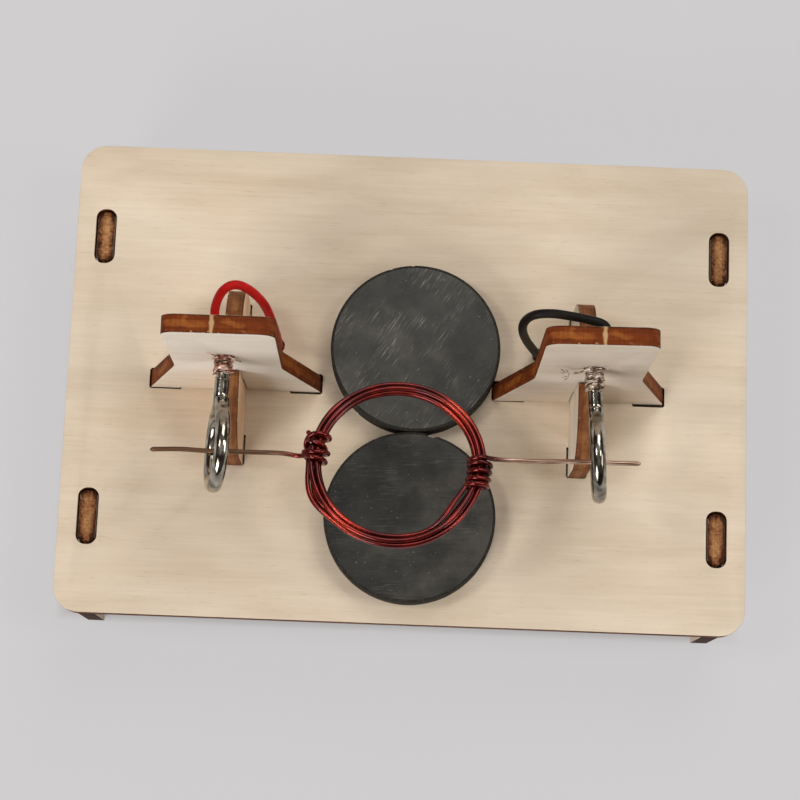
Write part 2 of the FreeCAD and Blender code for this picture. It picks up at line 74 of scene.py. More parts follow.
def add_node(tree, kind, *inputs, **facts):
    """Adds a node. Its kind can be followed by its operation or another mode. Inputs come in their order,
    or by name with _ for a space, as values, as sockets or as nodes, which then give their first result.
    All other facts are properties of the node or, as stops, the colours of its ramp."""
    kind, _, mode = kind.partition(" ")
    node = tree.nodes.new(kind if "Node" in kind else f"ShaderNode{kind}")
    if mode:
        setattr(node, next(label for label in MODES if hasattr(node, label)), mode)
    given = list(zip(node.inputs, inputs))
    for key, value in facts.items():
        if key == "stops":
            while len(node.color_ramp.elements) < len(value):
                node.color_ramp.elements.new(1.0)
            for element, (position, code) in zip(node.color_ramp.elements, value):
                element.position = position
                element.color = srgb(code)
        elif hasattr(node, key):
            setattr(node, key, value)
        else:
            label = key.replace("_", " ")
            named = next(entry for entry in node.inputs if entry.enabled and entry.name == label)
            given.append((named, value))
    for socket, value in given:
        if isinstance(value, bpy.types.Node):
            value = next(result for result in value.outputs if result.enabled)
        if isinstance(value, bpy.types.NodeSocket):
            tree.links.new(value, socket)
        else:
            socket.default_value = value
    return node


def new_finish(name):
    """A new material, what adds nodes to it and the output that gives each point's place in the object."""
    finish = bpy.data.materials.new(name)
    finish.use_nodes = True
    finish.node_tree.nodes.clear()
    add = partial(add_node, finish.node_tree)
    return finish, add, add("TexCoord").outputs["Object"]


def close_finish(add, colour, **facts):
    """Ends a material with its surface shader."""
    add("OutputMaterial", add("BsdfPrincipled", colour, **facts))


def new_object(name, data):
    """An object in the scene."""
    made = bpy.data.objects.new(name, data)
    bpy.context.collection.objects.link(made)
    return made


def finished(piece, body, slot, *nodes):
    """Puts a piece on its body and hides the solids it replaces. The slot, the finish it stands for, is not
    used.
    """
    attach(piece, body)
    if nodes:
        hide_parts(*nodes)
    faces = len(piece.data.polygons) if piece.type == "MESH" else 0
    print(f"{piece.name} rides on {body}, {faces} faces")


# %% [markdown]
# ## The camera
# A long lens looks almost straight down on the stand from the front. Its place is given as a product
# photographer would say it: what it aims at, how far away it is, how steep it looks and how much it leans.

# %% Place the camera
IMAGE_SIDE = 800
SENSOR = 36.0
FOCAL_PIXELS = 2110.3
camera_aim = Vector((-1.178, -2.557, 20.0)) * MM
camera_distance = 372.325 * MM
azimuth, elevation, lean = (math.radians(angle) for angle in (-0.845, 79.19, 3.044))

level_share = math.cos(elevation)
back = Vector((math.sin(azimuth) * level_share, -math.cos(azimuth) * level_share, math.sin(elevation)))
level = Vector((0, 0, 1)).cross(back).normalized()
upward = back.cross(level)
right = level * math.cos(lean) + upward * math.sin(lean)
top = upward * math.cos(lean) - level * math.sin(lean)

camera = new_object("camera", bpy.data.cameras.new("camera"))
camera.data.sensor_width = SENSOR
camera.data.lens = FOCAL_PIXELS / IMAGE_SIDE * SENSOR
camera.data.clip_start = 10 * MM
turned = Matrix((right, top, back)).transposed().to_4x4()
camera.matrix_world = Matrix.Translation(camera_aim + back * camera_distance) @ turned
bpy.context.scene.camera = camera
bpy.context.scene.view_settings.view_transform = "Standard"
print(f"lens {camera.data.lens:.1f} mm, camera {camera.location.z:.3f} m high")

# %% [markdown]
# ## The two leads
# Each lead is a fixed length of flexible insulated wire, soldered to a battery contact below the plate. It
# comes up through its hole and over to the rear of a screw hole. A cord like that is best drawn as a smooth
# spline with a few control points and a round section, because the curve then bends as the wire does.

# %% Draw the two leads
LEAD_DIAMETER = 1.5 * MM
lead_points = {
    "lead_red": (
        (-23.2, 2.87, 13.3), (-23.2, 5.69, 13.28), (-22.99, 6.4, 17.48), (-22.92, 6.3, 27.56),
        (-23.1, 5.86, 41.84), (-24.04, 7.08, 49.4), (-26.28, 8.27, 53.88), (-28.45, 8.64, 55.84),
        (-30.55, 7.75, 54.92), (-31.79, 5.83, 52.28), (-31.98, 3.96, 50.3), (-31.39, 2.34, 49.71),
    ),
    "lead_black": (
        (23.2, 2.87, 13.3), (23.2, 5.69, 13.28), (23.06, 6.4, 17.48), (22.71, 6.4, 21.12),
        (20.23, 6.39, 30.92), (18.8, 6.42, 39.49), (18.75, 6.69, 45.31), (20.06, 7.01, 49.15),
        (22.99, 7.16, 49.85), (26.1, 6.72, 50.21), (29.3, 6.11, 50.44), (31.74, 5.56, 50.35),
        (32.51, 3.8, 49.88), (31.5, 2.34, 49.6),
    ),
}
leads = {}
for name, points in lead_points.items():
    curve = bpy.data.curves.new(f"{name}_insulation", "CURVE")
    curve.dimensions = "3D"
    curve.bevel_depth = 1.0  # times the radius of the control points
    curve.bevel_resolution = 8
    curve.use_fill_caps = True
    spline = curve.splines.new("NURBS")
    spline.points.add(len(points) - 1)
    for control, point in zip(spline.points, points):
        control.co = (*(Vector(point) * MM), 1)
        control.radius = LEAD_DIAMETER / 2
    spline.order_u = 3
    spline.use_endpoint_u = True
    spline.resolution_u = 12
    leads[name] = new_object(f"{name}_insulation", curve)
    finished(leads[name], "stand", name.split("_")[1] + "_insulation", name)

# %% [markdown]
# ## Floor and studio light
# The stand is lit as in a small studio: wide lamps in front and behind, a weaker one at the right, a
# smaller one over each side for the glints on wire, and a dim dome. The lamps are given as a share of full
# light, at which a white card would render white, so that colours come out as they are written. The dome is
# dark above the horizon, because polished metal looks like metal only with something dark to mirror.

# %% Floor, lamps and dome
def lamp(name, place, share, side):
    """A square soft lamp that gives its share of full light at the object's middle."""
    light = bpy.data.lights.new(name, "AREA")
    from_aim = Vector(place) - camera_aim
    light.energy = share * (math.pi * from_aim.length) ** 2
    light.size = side
    holder = new_object(name, light)
    holder.location = place
    holder.rotation_euler = from_aim.to_track_quat("Z", "Y").to_euler()
    return holder


lamps = (
    lamp("front_lamp", (-0.60, -0.90, 0.62), 0.54, 0.56),
    lamp("side_lamp", (0.80, -0.12, 0.62), 0.18, 0.34),
    lamp("rear_lamp", (0.16, 0.54, 0.74), 0.36, 0.50),
    lamp("left_lamp", (-0.62, 0.04, 1.05), 0.22, 0.22),
    lamp("right_lamp", (0.60, 0.04, 1.05), 0.13, 0.20),
)

FLOOR_COLOUR, FLOOR_GLOW = "D2D0D1", "CFCDCE"
FLOOR_SHARE_OWN = 0.8  # of the pale floor that the camera sees, so that the shadow on it is faint
FLOOR_SIDE = 8.0
DARK_SIZE = {"X": 62.5 * MM, "Y": 42 * MM}  # half sizes of the floor under the stand, which stays dark
DARK_RIM = 2.5 * MM
FADE = (60 * MM, 320 * MM)  # distances from there between which the rest of the shadow fades
floor_mesh = bpy.data.meshes.new("floor")
half = FLOOR_SIDE / 2
corners = [(-half, -half, 0), (half, -half, 0), (half, half, 0), (-half, half, 0)]
floor_mesh.from_pydata(corners, [], [(0, 1, 2, 3)])
floor = new_object("floor", floor_mesh)
floor_paint, add, place = new_finish("matt_paper_sweep")
lit = add("BsdfDiffuse", srgb(FLOOR_COLOUR))
plain = add("Emission", srgb(FLOOR_GLOW), Strength=1)
path = add("LightPath")
seen = add("Math ADD", path.outputs["Is Camera Ray"], path.outputs["Is Glossy Ray"])
spot = add("SeparateXYZ", place)
past_edges = [
    add("Math SUBTRACT", add("Math ABSOLUTE", spot.outputs[axis]), half_size)
    for axis, half_size in DARK_SIZE.items()
]
far = add("Math MAXIMUM", *past_edges)
near_share = add("MapRange", far, -DARK_RIM, 0, 0, FLOOR_SHARE_OWN)
far_share = add("MapRange", far, *FADE, 0, 1 - FLOOR_SHARE_OWN)
own_share = add("Math ADD", near_share, far_share)
seen = add("Math MULTIPLY", seen, own_share, use_clamp=True)
add("OutputMaterial", add("MixShader", seen, lit, plain))
floor_mesh.materials.append(floor_paint)

world = bpy.data.worlds.new("tent")
world.use_nodes = True
bpy.context.scene.world = world
world.node_tree.nodes.clear()
add = partial(add_node, world.node_tree)
towards = add("SeparateXYZ", add("TexCoord").outputs["Generated"])
dome = add("ValToRGB", towards.outputs["Z"], stops=[
    (0.0, "CFCDCE"), (0.1, "CFCDCE"), (0.13, "3E3D3C"), (0.84, "464443"), (0.94, "9A9896"),
])
add("OutputWorld", add("Background", dome, Strength=1))
print("lamps in W:", {light.name: round(light.data.energy, 2) for light in lamps})

# %% [markdown]
# ## Birch plywood, laser cut
# Three veneers are glued crosswise and sanded. The face is pale, with a fine grain along the sheet, small
# dark vessels and soft cloudy bands. The laser leaves every cut edge scorched brown, with fine upright
# striations and a lighter middle veneer. Face and edge belong to one sheet, so one material draws both. It
# reads each point's place in the sheet, along the grain, across it and through its thickness, whether it
# lies on a cut, and where the part was snapped off. All three are attributes of the mesh, so nothing slides
# when a part is moved.

# %% The plywood finish
def drawn_out(add, place, sizes, **settings):
    """Noise with blotches of those sizes in mm along X, Y and Z."""
    scaled = add("Mapping", place, Scale=[1 / (size * MM) for size in sizes])
    return add("TexNoise", scaled, Scale=1, **settings)


def total(add, start, *terms):
    """A start plus terms, each given as a result and its share."""
    for result, share in terms:
        start = add("Math MULTIPLY_ADD", result, share, start)
    return start


TAB_SPACING = 50.4
TAB_CHAR_AND_SHADE = (22.4, 20.8)  # distances from the part's middle at which char and painted shade of the tab ends start and are full
FOOT_CHAR_AND_SHADE = (16.5, 15.5)  # heights at which char and painted shade under the plate start and are full
# Burnt wood, from the darkest colour to the lightest.
SCORCHED = ("2A1004", "51240A", "71320F", "A8662C")
CHARRED = ("220E05", "42200F", "5E3416", "946434")
TOASTED = ("30170A", "5A331C", "7B4A2B", "A87949")
SINGED = ("3A1E0C", "7A4A2C", "946640", "B98A58")


def birch_plywood(name, veneers, burnt=SCORCHED, rim_start=1.2, rim_char_and_shade=-0.16, crumbs_and_tab_shade=0.0):
    """Sanded birch with faces from a dark to a light veneer colour, and edges burnt and crumbly as told.
    The darker edges below the plate and at the tabs are char and painted shade.
    """
    finish, add, world_place = new_finish(name)
    place = add("Attribute", attribute_name="sheet").outputs["Vector"]
    cut = add("Attribute", attribute_name="cut").outputs["Fac"]
    snap_line = add("Attribute", attribute_name="snap_line").outputs["Fac"]
    along, _, through = add("SeparateXYZ", place).outputs
    _, world_y, height = add("SeparateXYZ", world_place).outputs

    # Face: clouds 30 by 8 mm, grain lines 0.5 mm apart and 14 mm long, vessels 0.2 by 2.4 mm.
    clouds = drawn_out(add, place, (30, 8, 8), Detail=4, Distortion=0.4)
    grain = drawn_out(add, place, (14, 0.5, 1), Detail=3, Roughness=0.6, Distortion=0.15)
    vessels = drawn_out(add, place, (2.4, 0.22, 1), Detail=1)
    vessel_mask = add("MapRange", vessels, 0.66, 0.8, 0, 0.22)
    tone = total(add, 0.17, (clouds, 0.66), (grain, 0.26))
    face = add("ValToRGB", tone, stops=list(zip((0.44, 0.62, 0.8), veneers)))
    face = add("Mix RGBA", vessel_mask, A=face, B=srgb("B79B78"), blend_type="MULTIPLY")

    # Edge: veneers 1 mm thick, striations 0.35 mm apart, scorching in patches of 4 mm. Below the plate the
    # edges are drawn darkest: char, and painted shade under the plate.
    depth = add("Math ABSOLUTE", through)
    striae = drawn_out(add, place, (0.35, 0.35, 5), Detail=2)
    patches = drawn_out(add, place, (4, 4, 2), Detail=4, Distortion=0.9)
    middle_veneer = add("MapRange", depth, 0.5 * MM, 0.62 * MM, 0.07, 0)
    rim = add("MapRange", depth, rim_start * MM, 1.5 * MM, 0, rim_char_and_shade)
    # Char and painted shade: edges below the plate's underside are drawn darker.
    foot = add("MapRange", height, *(limit * MM for limit in FOOT_CHAR_AND_SHADE), 0, -0.34)
    burn = total(add, 0.21, (striae, 0.14), (patches, 0.5), (middle_veneer, 1), (rim, 1), (foot, 1))
    if crumbs_and_tab_shade:
        # The tabs darken towards their ends, char and painted shade where they sink into their slots, and
        # 0.45 mm crumbs of pale wood show on them.
        from_middle = add("Math PINGPONG", world_y, TAB_SPACING / 2 * MM)
        tab_char_and_shade = add("MapRange", from_middle, *(limit * MM for limit in TAB_CHAR_AND_SHADE), 0, -0.26)
        crumb_noise = add("TexNoise", world_place, Scale=1 / (0.45 * MM), Detail=2)
        crumb_noise = add("Math SUBTRACT", crumb_noise, 0.5)
        burn = total(add, burn, (tab_char_and_shade, 1), (crumb_noise, crumbs_and_tab_shade))
    edge = add("ValToRGB", burn, stops=list(zip((0.28, 0.42, 0.56, 0.78), burnt)))
    # Splinters 0.9 mm wide have broken away near the faces and show raw wood.
    splinters = drawn_out(add, place, (0.9, 0.9, 0.4), Detail=2, Distortion=0.6)
    splinters = add("MapRange", splinters, 0.64, 0.69)
    near_face = add("MapRange", depth, 0.9 * MM, 1.25 * MM, 0, 0.6)
    splinters = add("Math MULTIPLY", splinters, near_face)
    # A raw stripe, 0.5 mm wide, is left where a part was snapped off its waste sheet.
    from_snap = add("Math ABSOLUTE", add("Math SUBTRACT", along, snap_line))
    ragged = total(add, from_snap, (patches, 1.2 * MM))
    snapped = add("MapRange", ragged, 0.95 * MM, 0.7 * MM, 0, 0.7)
    raw = add("Math MAXIMUM", splinters, snapped)
    edge = add("Mix RGBA", raw, A=edge, B=srgb("D2AC7C"))

    colour = add("Mix RGBA", cut, A=face, B=edge)
    relief = add("Mix FLOAT", cut, A=grain, B=striae)
    bump = add("Bump", Strength=0.35, Distance=0.05 * MM, Height=relief)
    rough = add("MapRange", grain, 0, 1, 0.62, 0.8)
    close_finish(add, colour, Specular_IOR_Level=0.12, Roughness=rough, Normal=bump)
    return finish


SANDED = ("CCB79C", "D9C6AE", "E3D2BB")
PALE = ("CBBAA4", "D8C8B5", "E2D4C3")
plate_plywood = birch_plywood("sanded_birch_plywood_plate", SANDED, CHARRED)
# The legs' edges darken more, and further from each face, than the others: char and painted shade where the
# tabs sit in their slots.
leg_plywood = birch_plywood("sanded_birch_plywood_legs", SANDED, SINGED, 0.5, -0.32, 0.6)
brace_plywood = {
    # The left brace gets a darker, browner copy of the pale veneer: painted shade on its side face.
    "left": birch_plywood("painted_shade_birch_plywood", ("C9A17C", "DDB893", "E8CAA8"), TOASTED),
    "right": birch_plywood("sanded_birch_plywood_braces", PALE, TOASTED),
}
stand_plywood = {
    # The left upright gets a lighter copy of the pale veneer than the right one: painted light.
    "left": birch_plywood("painted_light_birch_plywood", ("DDCDB9", "E9DCCB", "F1E6D8")),
    "right": birch_plywood("sanded_birch_plywood_pale", PALE),
}
print("plywood finishes ready")

# %% [markdown]
# ## The cut parts
# A laser-cut part has crisp edges, but no real edge is perfectly sharp. Each sheet is therefore a copy of
# its solid, cleaned up and given a rounding of a tenth of a millimetre, which catches a thin line of light.
# The copy then gets the three attributes that the plywood finish reads.

# %% Dress the plywood sheets
EDGE_ROUNDING = 0.1 * MM
FLAT_ENOUGH = math.radians(1)
SHARP_ANGLE = math.radians(35)
MERGE_WITHIN = 0.002 * MM
NO_SNAP = 1.0  # a place far outside every sheet
FACING = 0.9  # least cosine between two directions that count as the same


def plain_mesh(piece):
    """Turns an object into the plain mesh that its modifiers make."""
    mesh = bpy.data.meshes.new_from_object(piece.evaluated_get(bpy.context.evaluated_depsgraph_get()))
    piece.modifiers.clear()
    piece.data = mesh
    return mesh


def shade(mesh):
    """Smooth shading with sharp edges."""
    mesh.shade_smooth()
    mesh.set_sharp_from_angle(angle=SHARP_ANGLE)


def softened_copy(name, node, rounding, segments):
    """A merged copy of a solid whose sharp edges are slightly rounded."""
    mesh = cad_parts[node].data.copy()
    mesh.materials.clear()
    piece = new_object(name, mesh)
    merge = piece.modifiers.new("merge", "WELD")
    merge.merge_threshold = MERGE_WITHIN
    tidy = piece.modifiers.new("tidy", "DECIMATE")
    tidy.decimate_type = "DISSOLVE"
    tidy.angle_limit = FLAT_ENOUGH
    bevel = piece.modifiers.new("bevel", "BEVEL")
    bevel.width = rounding
    bevel.segments = segments
    bevel.limit_method = "ANGLE"
    bevel.angle_limit = SHARP_ANGLE
    shade(plain_mesh(piece))
    return piece


def mark_sheet(mesh, middle, along, across, through, snap_x):
    """Stores each point's place in the sheet, which faces lie on a cut, and where it was snapped off."""
    place = mesh.attributes.new("sheet", "FLOAT_VECTOR", "POINT")
    for vertex, entry in zip(mesh.vertices, place.data):
        offset = vertex.co - middle
        entry.vector = (offset.dot(along), offset.dot(across), offset.dot(through))
    cut = mesh.attributes.new("cut", "FLOAT", "FACE")
    snap = mesh.attributes.new("snap_line", "FLOAT", "FACE")
    for face, entry, snap_entry in zip(mesh.polygons, cut.data, snap.data):
        entry.value = 0.0 if abs(face.normal.dot(through)) > FACING else 1.0
        snap_entry.value = snap_x if snap_x is not None and face.normal.dot(across) > FACING else NO_SNAP


LEG_X = 54.9
TAB_LENGTH, TAB_TOP = 7.7, 19.6
TAB_OVERLAP = 0.05
TAB_END_OUTLINE = ((1.5, 0.0), (1.2, 0.55), (0.8, 0.8), (0.4, 0.92), (0.0, 0.95))
TAB_END_CURVE = ((0.0, 0.02), (0.5, 0.1), (0.8, 0.3), (1.0, 0.6), (1.0, 2.4))  # share of its reach, depth


def round_tab_ends(mesh, side):
    """Adds the rounded ends by which each tab nearly fills the round ends of its slot; the finish darkens
    them with char and painted shade.
    """
    solid = bmesh.new()
    solid.from_mesh(mesh)
    for tab, end in ((-1, -1), (-1, 1), (1, -1), (1, 1)):
        start_y = tab * TAB_SPACING / 2 + end * (TAB_LENGTH / 2 - TAB_OVERLAP)
        spots = {
            (side * LEG_X + turned * across, start_y + end * reach * share_out, TAB_TOP - depth)
            for across, reach in TAB_END_OUTLINE for turned in (-1, 1) for share_out, depth in TAB_END_CURVE
        }
        points = [solid.verts.new(Vector(spot) * MM) for spot in sorted(spots)]
        bmesh.ops.convex_hull(solid, input=points)
        left_over = [vertex for vertex in points if vertex.is_valid and not vertex.link_faces]
        bmesh.ops.delete(solid, geom=left_over, context="VERTS")
    solid.to_mesh(mesh)
    solid.free()
    shade(mesh)


X, Y, Z = Vector((1, 0, 0)), Vector((0, 1, 0)), Vector((0, 0, 1))
upright_facts = {"left": (0.3, 0.0, -0.9 * MM), "right": (0.9, 0.7, 0.1 * MM)}  # turn, lean, snapped tab
sheets = [("top_plate", plate_plywood, X, Y, Z, None)]
for side, (turn, lean, snap_x) in upright_facts.items():
    facing = Matrix.Rotation(math.radians(turn), 3, "Z") @ Matrix.Rotation(-math.radians(lean), 3, "X")
    sheets.append((f"upright_{side}", stand_plywood[side], facing @ X, facing @ Z, facing @ Y, snap_x))
    sheets.append((f"cross_brace_{side}", brace_plywood[side], Y, Z, X, None))
    sheets.append((f"leg_panel_{side}", leg_plywood, Y, Z, X, None))
for node, finish, along, across, through, snap_x in sheets:
    piece = softened_copy(f"{node}_sheet", node, EDGE_ROUNDING, 2)
    low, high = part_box(node)
    if node.startswith("leg_panel"):
        round_tab_ends(piece.data, -1 if node.endswith("left") else 1)
    mark_sheet(piece.data, (low + high) / 2, along, across, through, snap_x)
    piece.data.materials.append(finish)
    finished(piece, "stand", "plywood", node)

# %% [markdown]
# ## Ferrite magnets
# Ferrite is pressed black powder, fired hard like pottery, and its two faces are then ground flat. Grinding
# leaves straight fine scratches that glint a little, and the brittle rim has tiny chips. A profile turned
# on a lathe gives the disc, with a narrow rounded rim, and a few chips are pressed into its edge.

# %% The ferrite finish and the two discs
def ground_ferrite(name, middle, angle, dark, mid, light, scratch_share, painted_light_slope):
    """Fired ferrite of those greys, with grinding scratches at that angle to the X axis on its flat faces.
    Painted light slope is how much lighter it is drawn 10 mm to the right of its middle, painted light and
    shade across the disc."""
    finish, add, place = new_finish(name)
    turned = add("Mapping", place, vector_type="TEXTURE", Location=middle, Rotation=(0, 0, angle))
    # Scratches are drawn 0.12 mm wide and up to 9 mm long, a little coarser than real ones.
    fine = drawn_out(add, turned, (9, 0.12, 2), Detail=3, Roughness=0.65)
    gouges = drawn_out(add, turned, (3, 0.19, 2), Detail=3)
    gouge_mask = add("MapRange", gouges, 0.57, 0.7)
    # Scratches crowd in some patches, 6 mm across, and leave others nearly clean.
    crowd = add("TexNoise", place, Scale=1 / (6 * MM), Detail=2)
    crowd = add("MapRange", crowd, 0.46, 0.62, 0.04, scratch_share)
    gouge_mask = add("Math MULTIPLY", gouge_mask, crowd)
    cloud = add("TexNoise", place, Scale=1 / (7 * MM), Detail=4, Roughness=0.6)
    specks = add("TexNoise", place, Scale=1 / (0.45 * MM), Detail=1)
    speck_mask = add("MapRange", specks, 0.74, 0.8, 0, 0.4)
    # Painted light and shade: the tone slopes across X, so that one side of the disc is lighter.
    across = add("Math SUBTRACT", add("SeparateXYZ", place).outputs["X"], middle.x)
    tone = total(add, 0.0, (fine, 0.22), (cloud, 0.8), (across, painted_light_slope / (10 * MM)))
    colour = add("ValToRGB", tone, stops=[(0.36, dark), (0.52, mid), (0.68, light)])
    for mask, shown in ((gouge_mask, "86857F"), (speck_mask, "A09C8E")):
        colour = add("Mix RGBA", mask, A=colour, B=srgb(shown))
    rough = add("MapRange", fine, 0.3, 0.7, 0.36, 0.62)
    bump = add("Bump", Strength=0.5, Distance=0.02 * MM, Height=fine)
    close_finish(add, colour, Metallic=0.1, Specular_IOR_Level=0.4, Roughness=rough, Normal=bump)
    return finish


def cloudy_finish(name, size, stops, relief=0.0, strength=0.6, detail=4.0, **settings):
    """A finish with one cloudy colour pattern of a size in mm and a relief of a depth in mm."""
    finish, add, place = new_finish(name)
    cloud = add("TexNoise", place, Scale=1 / (size * MM), Detail=detail)
    if relief:
        settings["Normal"] = add("Bump", Strength=strength, Distance=relief * MM, Height=cloud)
    close_finish(add, add("ValToRGB", cloud, stops=stops), **settings)
    return finish


DISC_STEPS = 192
RIM_ROUNDING = 0.35 * MM
RIM_STEPS = 4
DARK_BORDER = 0.5 * MM  # of each flat face, where the grinding left the dark skin
CHIPS = 9
CHIP_ANGLES, CHIP_WIDTHS, CHIP_DEPTHS = (0, 2 * math.pi), (0.4, 1.0), (0.04, 0.12)
UPPER_CHIPS = 0.6  # share of the chips
CHIP_FALL = 0.6  # of its depth, by which a chip also lowers the rim


def chipped_disc(name, low, high, seed, large_chips):
    """A disc between two corners, turned from a profile with rounded rims. Small chips in the rims are
    random, and large ones in the upper rim are given by angle, width and depth."""
    radius = (high.x - low.x) / 2
    middle = (low + high) / 2
    profile = [(radius - DARK_BORDER, low.z)]
    for corner_z, start in ((low.z + RIM_ROUNDING, -math.pi / 2), (high.z - RIM_ROUNDING, 0.0)):
        for i in range(RIM_STEPS + 1):
            angle = start + i / RIM_STEPS * math.pi / 2
            r = radius - RIM_ROUNDING + RIM_ROUNDING * math.cos(angle)
            profile.append((r, corner_z + RIM_ROUNDING * math.sin(angle)))
    profile.append((radius - DARK_BORDER, high.z))
    draw = random.Random(seed)
    chips = []
    for _ in range(CHIPS):
        angle, width, depth = (draw.uniform(*limits) for limits in (CHIP_ANGLES, CHIP_WIDTHS, CHIP_DEPTHS))
        chips.append((angle, width * MM, depth * MM, draw.random() < UPPER_CHIPS))
    for degrees, width, depth in large_chips:
        chips.append((math.radians(degrees), width * MM, depth * MM, True))
    vertices = []
    for r, z in profile:
        for step in range(DISC_STEPS):
            angle = 2 * math.pi * step / DISC_STEPS
            dent = 0.0
            for chip_angle, width, depth, upper in chips:
                away = abs((angle - chip_angle + math.pi) % (2 * math.pi) - math.pi) * radius
                on_rim = r > radius - 1.2 * RIM_ROUNDING and upper == (z > middle.z)
                if on_rim and away < width / 2:
                    dent += depth * (1 - (2 * away / width) ** 2)
            fall = CHIP_FALL * (dent if z > middle.z else -dent)
            out = r - dent
            vertices.append((middle.x + out * math.cos(angle), middle.y + out * math.sin(angle), z - fall))
    rings = [range(start, start + DISC_STEPS) for start in range(0, len(vertices), DISC_STEPS)]
    faces = [
        (lower[j], lower[(j + 1) % DISC_STEPS], upper[(j + 1) % DISC_STEPS], upper[j])
        for lower, upper in zip(rings, rings[1:]) for j in range(DISC_STEPS)
    ]
    faces += [tuple(reversed(rings[0])), tuple(rings[-1])]
    mesh = bpy.data.meshes.new(name)
    mesh.from_pydata(vertices, [], faces)
    # The first material is for the two ground faces and the second one for the rim.
    is_rim = [int(len(face.vertices) != DISC_STEPS) for face in mesh.polygons]
    mesh.polygons.foreach_set("material_index", is_rim)
    shade(mesh)
    return new_object(name, mesh)


# The last of each magnet's facts is its painted light slope across the disc.
magnets = (
    ("magnet_rear", 3, ((203.0, 0.9, 0.2),),
     (math.radians(58), "2A2823", "393731", "4C4942", 0.85, -0.04)),
    ("magnet_front", 8, ((77.0, 1.9, 0.5), (296.0, 1.0, 0.2)),
     (math.radians(3), "161511", "2B2924", "433F38", 0.2, 0.09)),
)
# The rim isn't ground and keeps the matt dark skin of the firing, grainy at 0.4 mm.
skin = cloudy_finish(
    "fired_ferrite_skin", 0.4, ((0.4, "26231F"), (0.7, "3A3630")), 0.01, 0.3, 3.0,
    Roughness=0.8, Specular_IOR_Level=0.12,
)
for node, seed, large_chips, facts in magnets:
    low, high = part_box(node)
    disc = chipped_disc(f"{node}_disc", low, high, seed, large_chips)
    disc.data.materials.append(ground_ferrite(f"ground_ferrite_{node}", (low + high) / 2, *facts))
    disc.data.materials.append(skin)
    finished(disc, "stand", "ferrite", node)

# %% [markdown]
# ## A tree that grows wire
# Much of this motor is wire that follows a path. A Geometry Nodes tree makes it well: it takes a chain of
# points, smooths the chain, sweeps a round section along it and closes the ends. Its sizes are named
# inputs, so one tree serves the thick nickel wire of the eyes and the hair-thin strands of the leads.

# %% The wire tree and the function that runs trees
def new_tree(name, numbers, counts=()):
    """A geometry tree, what adds nodes to it, and its inputs: geometry, material, and those numbers and
    counts by name."""
    tree = bpy.data.node_groups.new(name, "GeometryNodeTree")
    kinds = {"Geometry": "Geometry", "Material": "Material"}
    kinds |= dict.fromkeys(numbers, "Float") | dict.fromkeys(counts, "Int")
    for label, kind in kinds.items():
        tree.interface.new_socket(label, in_out="INPUT", socket_type=f"NodeSocket{kind}")
    tree.interface.new_socket("Geometry", in_out="OUTPUT", socket_type="NodeSocketGeometry")
    return tree, partial(add_node, tree), tree.nodes.new("NodeGroupInput").outputs


def end_tree(add, geometry, material):
    """Ends a tree with plain smooth geometry in its material."""
    smooth = add("GeometryNodeSetShadeSmooth", geometry)
    real = add("GeometryNodeRealizeInstances", smooth)
    add("NodeGroupOutput", add("GeometryNodeSetMaterial", real, Material=material))


def grow(name, tree, sizes, base=None):
    """Runs a tree with its named sizes and returns the plain mesh as an object."""
    host = new_object(name, base or bpy.data.meshes.new(name))
    modifier = host.modifiers.new("grow", "NODES")
    modifier.node_group = tree
    for item in tree.interface.items_tree:
        if item.in_out == "INPUT" and item.name in sizes:
            modifier[item.identifier] = sizes[item.name]
    plain_mesh(host)
    return host


wire_tree, add, given = new_tree("wire_along_a_path", ["Diameter"], ["Sides", "Steps"])
chain = add("GeometryNodeMeshToCurve", given["Geometry"])
chain = add("GeometryNodeCurveSplineType CATMULL_ROM", chain)
chain = add("GeometryNodeSetSplineResolution", chain, Resolution=given["Steps"])
half_width = add("Math MULTIPLY", given["Diameter"], 0.5)
circle = add("GeometryNodeCurvePrimitiveCircle", given["Sides"], Radius=half_width)
taper = add("GeometryNodeInputRadius")
tube = add("GeometryNodeCurveToMesh", chain, Profile_Curve=circle, Scale=taper, Fill_Caps=True)
end_tree(add, tube, given["Material"])


def wire(name, paths, diameter, sides, steps, material, place=Matrix.Identity(4)):
    """Wires along paths of points (x, y, z) or (x, y, z, share of the full radius), in mm."""
    points, links, shares = [], [], []
    for path in paths:
        for i, point in enumerate(path):
            if i:
                links.append((len(points) - 1, len(points)))
            points.append(Vector(point[:3]) * MM)
            shares.append(point[3] if len(point) == 4 else 1.0)
    chains = bpy.data.meshes.new(f"{name}_path")
    chains.from_pydata(points, links, [])
    chains.attributes.new("radius", "FLOAT", "POINT").data.foreach_set("value", shares)
    sizes = {"Diameter": diameter * MM, "Sides": sides, "Steps": steps, "Material": material}
    piece = grow(name, wire_tree, sizes, chains)
    piece.data.transform(place)
    return piece


print("wire tree with", len(wire_tree.nodes), "nodes")

# %% [markdown]
# ## Nickel-plated screw eyes
# A screw eye is one steel wire: a thread is rolled on its straight end, and the other end is bent down and
# once round into a ring until it lies on the shank again. Bright nickel is a mirror with a faint warm tint
# and very fine smears. The ring is drawn from the same arcs that a bending jig would use.

# %% The nickel finish and the ring's path
nickel, add, place = new_finish("bright_nickel_plated_steel")
smears = add("TexNoise", place, Scale=1 / (1.2 * MM), Detail=4)
rough = add("MapRange", smears, 0.3, 0.75, 0.07, 0.22)
waves = add("TexNoise", place, Scale=1 / (2.5 * MM), Detail=1)
bump = add("Bump", Strength=0.7, Distance=0.05 * MM, Height=waves)
tarnish = add("TexNoise", place, Scale=1 / (2 * MM), Detail=3, Distortion=0.5)
colour = add("ValToRGB", tarnish, stops=[(0.36, "6F675B"), (0.55, "A39B8D"), (0.7, "BDB6AA")])
close_finish(add, colour, Metallic=1, Roughness=rough, Normal=bump)

